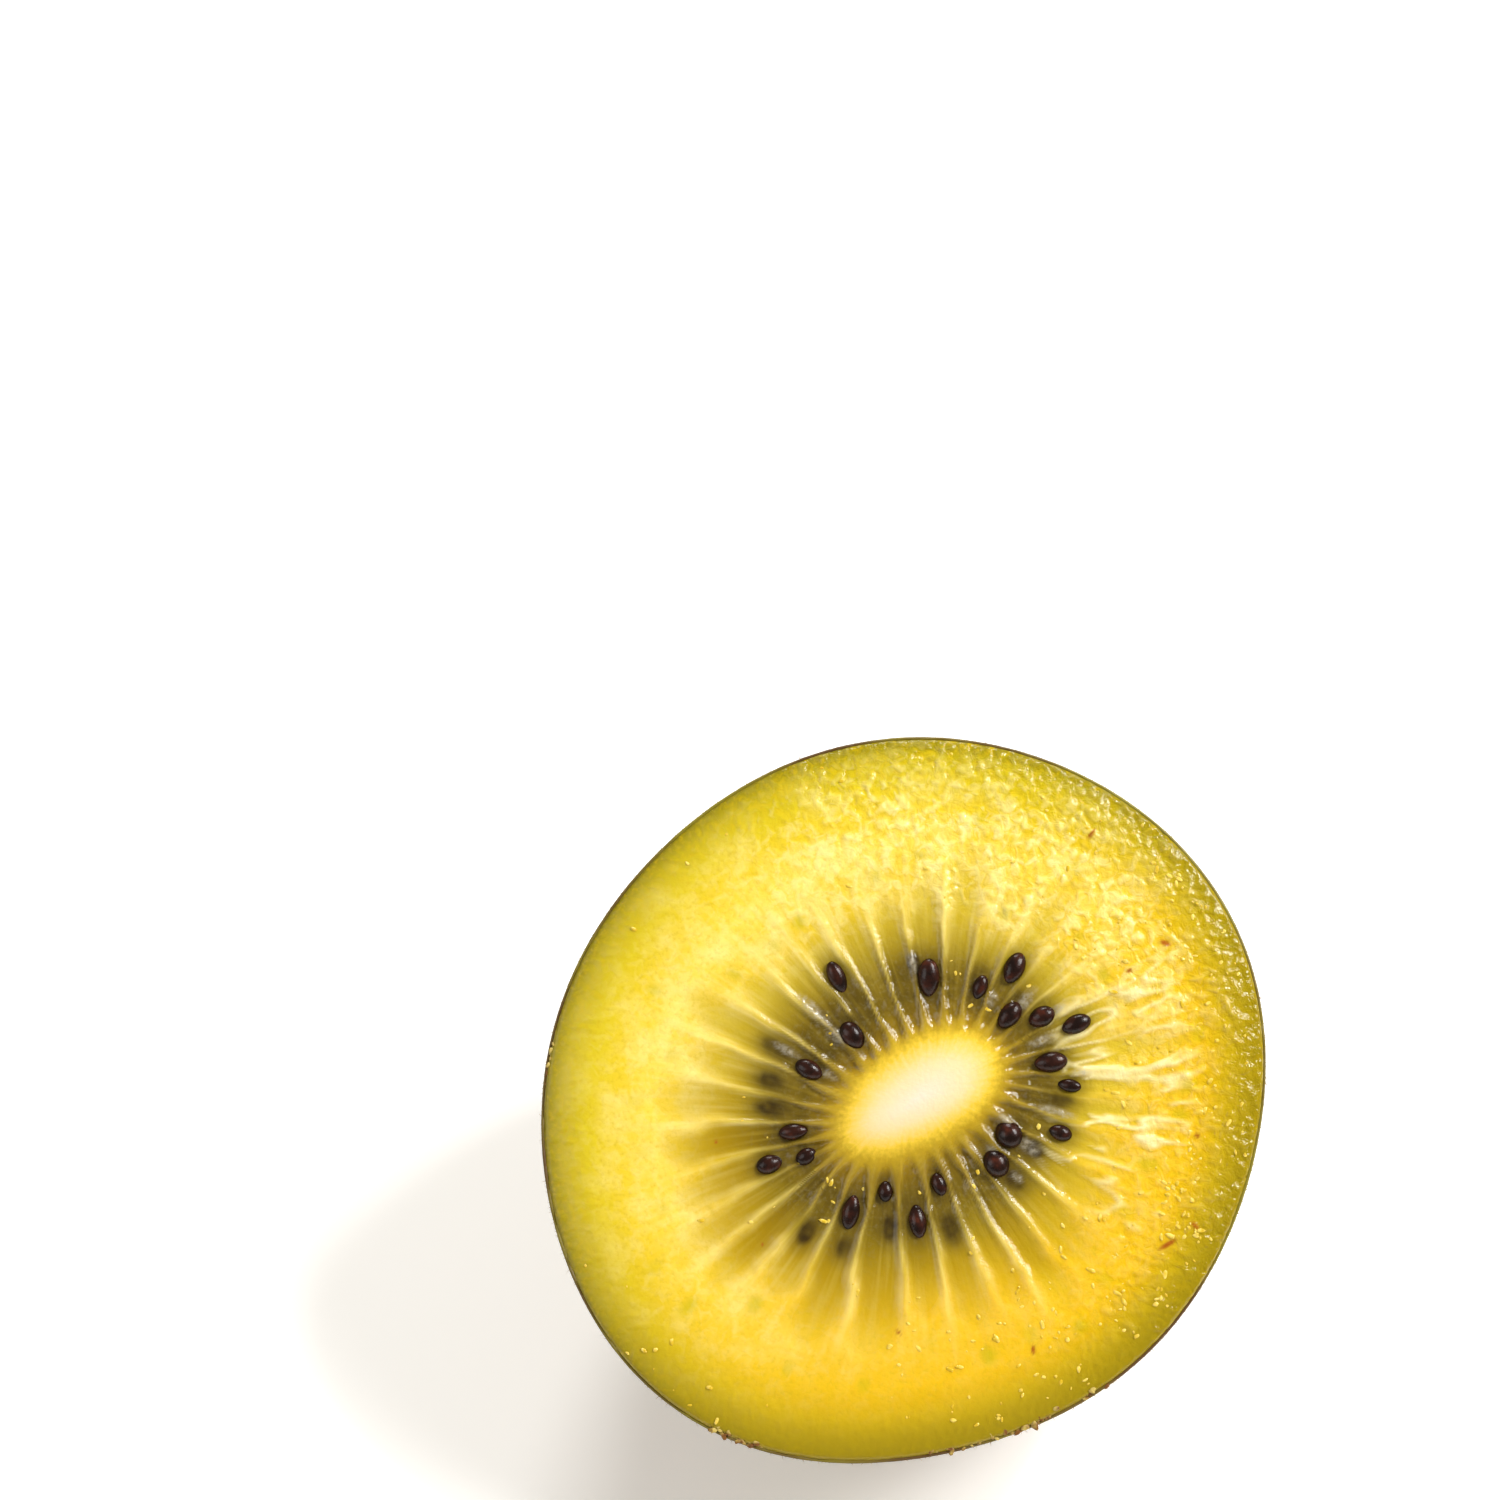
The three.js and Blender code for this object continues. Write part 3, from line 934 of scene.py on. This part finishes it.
finish_piece(flesh_mesh, "flesh", flesh_material(), SKIN_THICKNESS)

# %% [markdown]
# ## The seeds
# A kiwi seed is a flattened drop with a fine pitted coat, nearly black and wet. One ball, drawn to
# a blunt point, is turned and scaled for each seed. The seeds sit half sunk in their chambers,
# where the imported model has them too.

# %% Seed meshes
SEED_THICKNESS = 0.8
SEED_RISE = 0.05
SEED_LEAN = 0.16

seed_draw = np.random.default_rng(3)
seed_shape = bmesh.new()
for x, y, length, width in OPEN_SEEDS:
    made = bmesh.ops.create_uvsphere(seed_shape, u_segments=20, v_segments=14, radius=0.5)["verts"]
    bmesh.ops.rotate(seed_shape, verts=made, matrix=Matrix.Rotation(math.pi / 2, 3, "Y"))
    for corner in made:
        narrow = 1.06 - 0.5 * max(0, -corner.co.x) ** 1.5
        corner.co.y *= narrow
        corner.co.z *= narrow
    centre = CORE_CENTRE + (x, y)
    lean = seed_draw.uniform(-SEED_LEAN, SEED_LEAN)
    size = Matrix.Diagonal((length, width, width * SEED_THICKNESS, 1))
    spin = Matrix.Rotation(ray_turn(centre) + lean, 4, "Z") @ Matrix.Rotation(lean, 4, "Y")
    place = Matrix.Translation((*centre, SEED_RISE - CHAMBER_SINK))
    bmesh.ops.transform(seed_shape, verts=made, matrix=place @ spin @ size)
seed_mesh = to_mesh(seed_shape, "seeds")


# %% Seed material
def seed_material():
    """A hard seed coat, nearly black with some red in it, under a film of juice."""
    material, tree = new_material("wet_pitted_seed_coat")
    place = add(tree, "TexCoord").outputs["Object"]
    pits = add(tree, "TexVoronoi", {"Vector": place, "Scale": 1 / (0.14 * MM)}).outputs["Distance"]
    colour = add(tree, "ValToRGB", {"Fac": pattern(tree, 0.8)}, stops=[
        (0.35, "#170805"),
        (0.6, "#30140c"),
        (0.75, "#4a2013"),
    ]).outputs["Color"]
    bump = add(tree, "Bump", {"Height": pits, "Distance": 0.03 * MM, "Strength": 0.3})
    surface(tree, {
        "Base Color": colour,
        "Roughness": 0.24,
        "IOR": 1.36,
        "Normal": bump.outputs["Normal"],
    })
    return material


finish_piece(seed_mesh, "seeds", seed_material())

# %% [markdown]
# ## The skin
# The skin is a dry, leathery shell about a quarter of a millimetre thick. Solidify could thicken a
# surface, but a closed profile that is spun round the fruit's axis gives the outside, the cut
# edge and the inside in one go, with fine rings outside and coarse ones inside, where nobody
# looks. At the stem end the profile dips into the scar.

# %% Skin profile and spin
SKIN_RINGS = 118
INSIDE_RINGS = 26
SKIN_STEPS = 440
SCAR_RING_RADIUS = 4.3
SCAR_RING_RISE = 0.45
SCAR_RING_WIDTH = 0.6
SCAR_CUP_RADIUS = 3.5
SCAR_CUP_SINK = 1.1
SCAR_ROUNDNESS = 0.45
RIM_DEPTH = 0.55


def scar_relief(radius):
    """How far the stem scar's ring stands out, and its cup sinks in, at a radius from the axis."""
    ring = SCAR_RING_RISE * np.exp(-(((radius - SCAR_RING_RADIUS) / SCAR_RING_WIDTH) ** 2))
    cup = 1 - smooth(SCAR_CUP_RADIUS - SCAR_ROUNDNESS, SCAR_CUP_RADIUS + SCAR_ROUNDNESS, radius)
    return ring - SCAR_CUP_SINK * cup


def profile(rings, inset):
    """Radius and height from the rim to the stem end, set in by a distance."""
    turn = np.linspace(0, math.pi / 2, rings)
    share, depth = side_profile(turn)
    scale = 1 - inset / FACE_RADIUS
    radius = share * FACE_RADIUS * scale
    length = (HALF_LENGTH - inset) / HALF_LENGTH
    return radius, -depth * length - scar_relief(radius)


skin_shape = bmesh.new()
out_radius, out_height = profile(SKIN_RINGS, 0)
in_radius, in_height = profile(INSIDE_RINGS, SKIN_THICKNESS)
out_height[0] = in_height[0] = -RIM_DEPTH
loop_radius = np.concatenate([out_radius[::-1], in_radius])
loop_height = np.concatenate([out_height[::-1], in_height])
loop_radius[0] = loop_radius[-1] = 0
line = [skin_shape.verts.new((r, 0, z)) for r, z in zip(loop_radius, loop_height)]
edges = [skin_shape.edges.new(pair) for pair in zip(line, line[1:])]
bmesh.ops.spin(
    skin_shape,
    geom=line + edges,
    cent=(0, 0, 0),
    axis=(0, 0, 1),
    angle=FULL_TURN,
    steps=SKIN_STEPS,
    use_merge=True,
)
bmesh.ops.remove_doubles(skin_shape, verts=skin_shape.verts, dist=0.001)
skin_mesh = to_mesh(skin_shape, "skin")

# %% [markdown]
# The spun skin is round. Its corners are moved out to the oval outline, and the surface gets slow
# dents and a ragged cut edge, where the knife tore it a little.

# %% Skin relief
DENT_HEIGHT, DENT_SIZE = 0.1, 9
PORE_HEIGHT, PORE_SIZE = 0.035, 1.1
TEAR_HEIGHT, TEAR_SIZE = 0.12, 1.2

points = corners(skin_mesh)
bearing = np.arctan2(points[:, 1], points[:, 0])
depth = np.clip(-points[:, 2], 0, HALF_LENGTH)
points[:, :2] *= (outline(bearing, depth) / FACE_RADIUS)[:, None]
outwards = points / np.linalg.norm(points + (0, 0, 0.001), axis=1)[:, None]
dents = fractal_at(points, DENT_SIZE)
pores = noise_at(points, PORE_SIZE)
near_cut = 1 - smooth(0.3, 1.5, depth)
relief = (DENT_HEIGHT * dents + PORE_HEIGHT * pores) * (1 - near_cut)
points += outwards * relief[:, None]
ragged = fractal_at(points * (1, 1, 0), TEAR_SIZE)
points[:, 2] += near_cut * TEAR_HEIGHT * ragged
set_corners(skin_mesh, points)
store(skin_mesh, "depth", depth)
store(skin_mesh, "axis", np.hypot(points[:, 0], points[:, 1]))


# %% Skin material
def skin_material():
    """Dry leathery peel with short down, olive where it is thin and brown where it is corky."""
    material, tree = new_material("dry_downy_kiwi_peel")
    place = add(tree, "TexCoord").outputs["Object"]
    depth = add(tree, "Attribute", attribute_name="depth").outputs["Fac"]
    axis = add(tree, "Attribute", attribute_name="axis").outputs["Fac"]
    patch = pattern(tree, 11, 3.0)
    cloud = pattern(tree, 2.2, 4.0)
    grain = pattern(tree, 0.35, 4.0)

    shake = add(tree, "TexNoise", {"Vector": place, "Scale": 1 / (0.7 * MM)}).outputs["Color"]
    sockets = {0: shake, 1: (0.7 * MM,) * 3, 2: place}
    shaken = add(tree, "VectorMath", sockets, operation="MULTIPLY_ADD").outputs[0]
    speckle = add(tree, "TexVoronoi", {"Vector": shaken, "Scale": 1 / (1.0 * MM)}).outputs
    each = add(tree, "SeparateColor", {0: speckle["Color"]}).outputs
    reach = add(tree, "Math", {0: speckle["Distance"], 1: each[0]}, operation="DIVIDE").outputs[0]
    dots = times(tree, part(tree, reach, 0.62, 0.15), part(tree, each[1], 0, 1, 0.15, 0.62))

    base = add(tree, "ValToRGB", {"Fac": patch}, stops=[
        (0.34, "#786a26"),
        (0.45, "#7d6628"),
        (0.56, "#795a29"),
        (0.68, "#694622"),
    ]).outputs["Color"]
    freckle = times(tree, part(tree, patch, 0.5, 0.62), part(tree, grain, 0.55, 0.68, 0.0, 0.6))
    scar_ring = times(
        tree,
        part(tree, axis, 5.4, 4.5),
        part(tree, depth, 28, 32),
        part(tree, grain, 0.3, 0.6, 1.0, 0.6),
    )
    colour = lay(
        tree,
        base,
        ("#4d3a14", part(tree, cloud, 0.55, 0.35, 0.0, 0.6)),
        ("#46300f", part(tree, grain, 0.5, 0.25, 0.0, 0.5)),
        ("#7c4019", freckle),
        ("#b69763", dots),
        ("#5a3d1e", part(tree, depth, 28, 36, 0.0, 0.6)),
        ("#38240f", scar_ring),
    )
    edge = mix(tree, linear("#84791d"), linear("#5c421a"), part(tree, patch, 0.4, 0.62))
    colour = mix(tree, colour, edge, part(tree, depth, 1.0, 0.6))
    bump = add(tree, "Bump", {"Height": grain, "Distance": 0.1 * MM, "Strength": 0.5})
    raised = add(tree, "Bump", {
        "Height": dots,
        "Distance": 0.08 * MM,
        "Strength": 0.6,
        "Normal": bump.outputs["Normal"],
    })
    surface(tree, {
        "Base Color": colour,
        "Roughness": 0.46,
        "IOR": 1.45,
        "Normal": raised.outputs["Normal"],
        "Sheen Weight": 0.25,
        "Sheen Roughness": 0.5,
        "Sheen Tint": linear("#c9a878"),
    })
    return material


skin_faces = len(skin_mesh.polygons)
face_middles = np.empty(skin_faces * 3, np.float32)
face_normals = np.empty(skin_faces * 3, np.float32)
face_areas = np.empty(skin_faces, np.float32)
skin_mesh.polygons.foreach_get("center", face_middles)
skin_mesh.polygons.foreach_get("normal", face_normals)
skin_mesh.polygons.foreach_get("area", face_areas)

# The spun faces come in another order on each run, so they are sorted by place for the hairs.
face_corners = np.empty(len(skin_mesh.loops), np.int32)
first_corners = np.empty(skin_faces, np.int32)
skin_mesh.loops.foreach_get("vertex_index", face_corners)
skin_mesh.polygons.foreach_get("loop_start", first_corners)
order = np.lexsort(np.add.reduceat(corners(skin_mesh)[face_corners], first_corners).T)
face_middles = face_middles.reshape(-1, 3).astype(float)[order]
face_normals = face_normals.reshape(-1, 3).astype(float)[order]
face_areas = face_areas[order]
finish_piece(skin_mesh, "skin", skin_material())

# %% [markdown]
# ## The down
# A golden kiwi is nearly smooth, with short soft hairs. Hair curves and particles are lost when a
# part is handed on, so the down is a mesh: one thin hair of nine triangles is copied by an Array
# modifier, and each copy is then set on the outside of the skin, leaning towards the stem end.

# %% Many copies
def many_copies(shape, name, number):
    """Ends a bmesh and returns a mesh that holds it a number of times, copy after copy."""
    single = bpy.data.objects.new(name, to_mesh(shape, name + "_single"))
    bpy.context.scene.collection.objects.link(single)
    copies = single.modifiers.new("copies", "ARRAY")
    copies.count = number
    copies.use_relative_offset = False
    seen = single.evaluated_get(bpy.context.evaluated_depsgraph_get())
    mesh = bpy.data.meshes.new_from_object(seen)
    bpy.data.objects.remove(single)
    return mesh


# %% Hairs
HAIRS = 15000
HAIR_LENGTHS = (0.3, 0.75)
HAIR_RADIUS = 0.028
HAIR_LEAN = math.radians(52)
HAIR_LEAN_SPREAD = 0.25
HAIR_BENDS = (-0.1, 0.4)
BARE_EDGE = 1.5
BARE_SCAR = 4.6

hair_shape = bmesh.new()
bmesh.ops.create_cone(hair_shape, segments=3, radius1=1, radius2=0, depth=1)
bmesh.ops.remove_doubles(hair_shape, verts=hair_shape.verts, dist=0.001)
long_edges = [edge for edge in hair_shape.edges if edge.verts[0].co.z * edge.verts[1].co.z < 0]
bmesh.ops.subdivide_edges(hair_shape, edges=long_edges, cuts=1)
down_mesh = many_copies(hair_shape, "down", HAIRS)
print("hair corners:", len(down_mesh.vertices))

# %% [markdown]
# The roots are drawn over the outside of the skin, with larger faces drawn more often, so that the
# down is even. Each hair gets its own length, lean and bend.

# %% Down on the skin
hair_draw = np.random.default_rng(11)
inner = np.array([0, 0, -HALF_LENGTH / 3])
facing_out = np.einsum("ij,ij->i", face_normals, face_middles - inner) > 0
off_scar = np.hypot(face_middles[:, 0], face_middles[:, 1]) > BARE_SCAR
weights = face_areas * facing_out * off_scar * (face_middles[:, 2] < -BARE_EDGE)
roots = hair_draw.choice(skin_faces, HAIRS, p=weights / weights.sum())
up = face_normals[roots]
stemward = np.array([0, 0, -1]) - up * (up @ (0, 0, -1))[:, None]
loose = hair_draw.normal(0, 0.5, (HAIRS, 3))
lying = stemward + loose - up * np.einsum("ij,ij->i", up, loose)[:, None]
lying /= np.linalg.norm(lying, axis=1)[:, None]
aside = np.cross(up, lying)
lean = HAIR_LEAN + hair_draw.normal(0, HAIR_LEAN_SPREAD, HAIRS)[:, None]
stand = up * np.cos(lean) + lying * np.sin(lean)
length = hair_draw.uniform(*HAIR_LENGTHS, HAIRS)[:, None, None]
strand = corners(down_mesh).reshape(HAIRS, -1, 3)
rise = strand[:, :, 2:3] + 0.5
points = face_middles[roots][:, None, :] + HAIR_RADIUS * strand[:, :, 0:1] * aside[:, None, :]
points = points + HAIR_RADIUS * strand[:, :, 1:2] * np.cross(aside, stand)[:, None, :]
bend = lying * hair_draw.uniform(*HAIR_BENDS, HAIRS)[:, None]
points = points + length * (rise * stand[:, None, :] + rise**2 * bend[:, None, :])
set_corners(down_mesh, points.reshape(-1, 3))


def down_material():
    """Dry, tan hairs in patches of two tans, all of one dull sheen."""
    material, tree = new_material("dry_tan_kiwi_down")
    stops = [(0.35, "#8d6d3d"), (0.65, "#a38052")]
    colour = add(tree, "ValToRGB", {"Fac": pattern(tree, 5)}, stops=stops).outputs["Color"]
    surface(tree, {"Base Color": colour, "Roughness": 0.6})
    return material


finish_piece(down_mesh, "down", down_material())

# %% [markdown]
# ## The stem scar
# Where the stalk broke off, a plug of dry, torn fibres fills the cup in the skin. A flat ball is
# enough for it, because only its outer half is seen: spokes and tufts are raised on it by noise,
# and two dark pits are sunk in it where the bundles ran into the stalk.

# %% Plug in the cup
PLUG_RADIUS = 2.6
PLUG_HEIGHT = 0.9
PITS = [(-0.75, 0.5, 0.38), (0.85, -0.35, 0.3)]
PIT_DEPTH = 0.6
TUFT_HEIGHT = 0.45

scar_shape = bmesh.new()
bmesh.ops.create_uvsphere(scar_shape, u_segments=96, v_segments=64, radius=1)
scar_mesh = to_mesh(scar_shape, "stem_scar")
points = corners(scar_mesh)
bearing = np.arctan2(points[:, 1], points[:, 0])
radius = PLUG_RADIUS * np.hypot(points[:, 0], points[:, 1])
spokes = np.column_stack([3 * np.cos(bearing), 3 * np.sin(bearing), radius / 1.5])
tufts = fractal_at(spokes, 1, 0.8, 4)
points[:, 2] *= 1 + TUFT_HEIGHT * tufts
points *= (PLUG_RADIUS, PLUG_RADIUS, PLUG_HEIGHT)
pit = np.zeros(len(points))
for x, y, size in PITS:
    reach = np.hypot(points[:, 0] - x, points[:, 1] - y) / size
    pit = np.maximum(pit, 1 - smooth(0.6, 1.3, reach))
points[:, 2] += PIT_DEPTH * pit * (points[:, 2] < 0)
points[:, 2] -= HALF_LENGTH - SCAR_CUP_SINK
set_corners(scar_mesh, points)
store(scar_mesh, "pit", pit)
store(scar_mesh, "tuft", tufts)


def scar_material():
    """Dry brown stalk fibres, nearly black in the pits."""
    material, tree = new_material("dry_torn_stalk_fibre")
    pits = add(tree, "Attribute", attribute_name="pit").outputs["Fac"]
    tuft = add(tree, "Attribute", attribute_name="tuft").outputs["Fac"]
    colour = add(tree, "ValToRGB", {"Fac": part(tree, tuft, -0.4, 0.5)}, stops=[
        (0.0, "#2c1b0c"),
        (0.5, "#54381b"),
        (1.0, "#8a6a41"),
    ]).outputs["Color"]
    colour = mix(tree, colour, linear("#150c05"), pits)
    surface(tree, {"Base Color": colour, "Roughness": 0.8})
    return material


finish_piece(scar_mesh, "stem_scar", scar_material())

# %% [markdown]
# ## Juice and crumbs
# The knife leaves tiny beads of juice and crumbs of torn flesh on the face, and shreds of peel at
# its lower edge. They are real grains on the surface, each a small squashed ball, so they catch the
# light from any side.

# %% Beads and crumbs
BEADS = 320
BEAD_RADII = (0.05, 0.17)
CRUMB_RADII = (0.06, 0.2)
STRETCHES = (1.0, 2.4)
FLATNESSES = (0.25, 0.55)
KNOB_HEIGHT = 0.45
RAGGED_BEARINGS = [(-84, -50, 60), (-117, -109, 22), (174, 181, 14)]

bead_draw = np.random.default_rng(5)
noise.seed_set(5)  # noise_vector follows the clock without it
seed_zone = smooth(0.2, 0.26, face_share) * (1 - smooth(0.36, 0.46, face_share))
lower_right = outer * painted_shade_side * smooth(-0.2, 0.3, towards(0)) * (1 - smooth(0.95, 0.98, face_share))
left_rays = ray * (1 - painted_shade_side) * smooth(0.3, 0.4, face_share)
rim_zone = 0.12 * smooth(0.86, 0.94, face_share) * (1 - smooth(0.97, 0.99, face_share))
crowded = smooth(0.0, 0.4, wander(flat_face, 1.6, 9))
clear_of_seeds = 1 - smooth(0.2, 0.6, seed_shade)
bead_chance = 0.5 * seed_zone * clear_of_seeds + 0.7 * lower_right + 0.3 * left_rays + rim_zone
bead_chance *= face_share * (0.1 + crowded)


def scatter(name, places, radii, random):
    """A mesh of small squashed balls at places in mm, each with its own size, stretch and turn."""
    number = len(places)
    ball = bmesh.new()
    bmesh.ops.create_uvsphere(ball, u_segments=8, v_segments=5, radius=1)
    mesh = many_copies(ball, name, number)
    points = corners(mesh).reshape(number, -1, 3)
    size = random.uniform(*radii, (number, 1))
    turn = random.uniform(0, FULL_TURN, (number, 1))
    long = points[:, :, 0] * random.uniform(*STRETCHES, (number, 1))
    flat = points[:, :, 2] * random.uniform(*FLATNESSES, (number, 1))
    wide = points[:, :, 1]
    turned = (long * np.cos(turn) - wide * np.sin(turn), long * np.sin(turn) + wide * np.cos(turn))
    points = np.stack([*turned, flat], axis=-1) * size[:, :, None] + np.array(places)[:, None, :]
    points = points.reshape(-1, 3)
    knobs = np.array([noise.noise_vector(Vector(p) / (3 * radii[0])) for p in points])
    knob_height = KNOB_HEIGHT * np.repeat(size, len(points) // number, axis=0)
    set_corners(mesh, points + knob_height * knobs)
    return mesh


chosen = bead_draw.choice(len(flat_face), BEADS, replace=False, p=bead_chance / bead_chance.sum())
bead_places = np.column_stack([flat_face[chosen], height[chosen] + 0.01])
bead_mesh = scatter("juice_beads", bead_places, BEAD_RADII, bead_draw)

crumb_places = []
for low, high, number in RAGGED_BEARINGS:
    for bearing in np.radians(bead_draw.uniform(low, high, number)):
        radius = outline(bearing) * bead_draw.uniform(0.978, 0.998)
        drop = -EDGE_SINK + bead_draw.uniform(-0.25, 0.02)
        crumb_places.append((radius * math.cos(bearing), radius * math.sin(bearing), drop))
crumb_mesh = scatter("peel_crumbs", crumb_places, CRUMB_RADII, bead_draw)


def grain_material(name, low, high, size, roughness):
    """Small grains in colours between two, in patches of a size in mm, dull or glossy."""
    material, tree = new_material(name)
    colour = mix(tree, linear(low), linear(high), part(tree, pattern(tree, size), 0.4, 0.6))
    surface(tree, {"Base Color": colour, "Roughness": roughness, "IOR": 1.36})
    return material


bead_material = grain_material("glossy_kiwi_juice", "#dab52c", "#f3d765", 0.6, 0.06)
finish_piece(bead_mesh, "juice_beads", bead_material)
crumb_material = grain_material("torn_kiwi_peel", "#7a4f22", "#c9b25e", 0.7, 0.35)
finish_piece(crumb_mesh, "peel_crumbs", crumb_material)

# %% [markdown]
# ## Floor and light
# The fruit lies on a white panel that glows a little, as on a light table, so its shadow stays
# pale. One large soft light from the right models the bumps of the wet face, a small bright one
# beside it gives crisp glints, a third one stands behind and above, and a weak one fills the left.

# %% Floor
FLOOR_HALF = 1.5

floor_shape = bmesh.new()
bmesh.ops.create_grid(floor_shape, x_segments=2, y_segments=2, size=FLOOR_HALF)
floor_mesh = to_mesh(floor_shape, "floor")
floor_material, floor_tree = new_material("lit_white_panel")
surface(floor_tree, {
    "Base Color": linear("#f2f1ee"),
    "Roughness": 0.7,
    "Emission Color": linear("#fffdf8"),
    "Emission Strength": 0.3,
})
floor_mesh.materials.append(floor_material)
floor = bpy.data.objects.new("floor", floor_mesh)
bpy.context.scene.collection.objects.link(floor)


# %% Lights
def soft_light(name, direction, far, size, watts, colour="#ffffff"):
    """A square area light that looks at the face from a direction."""
    light = bpy.data.lights.new(name, "AREA")
    light.shape = "SQUARE"
    light.size = size
    light.energy = watts
    light.color = linear(colour)[:3]
    lamp = bpy.data.objects.new(name, light)
    away = Vector(direction).normalized()
    lamp.location = face_centre + away * far
    lamp.rotation_euler = (-away).to_track_quat("-Z", "Y").to_euler()
    bpy.context.scene.collection.objects.link(lamp)


soft_light("right_window", (0.65, -0.04, 0.75), 0.6, 0.24, 3.0)
soft_light("bright_pane", (0.5, 0.1, 0.86), 0.6, 0.06, 1.1)
soft_light("back_top", (-0.1, 0.7, 0.75), 0.6, 0.2, 1.6)
soft_light("left_fill", (-0.8, -0.5, 0.6), 0.8, 0.5, 1.6)

world = bpy.data.worlds.new("pale_room")
world.use_nodes = True
world.node_tree.nodes["Background"].inputs["Color"].default_value = linear("#fff6e6")
world.node_tree.nodes["Background"].inputs["Strength"].default_value = 0.28
bpy.context.scene.world = world
bpy.context.scene.view_settings.view_transform = "Standard"
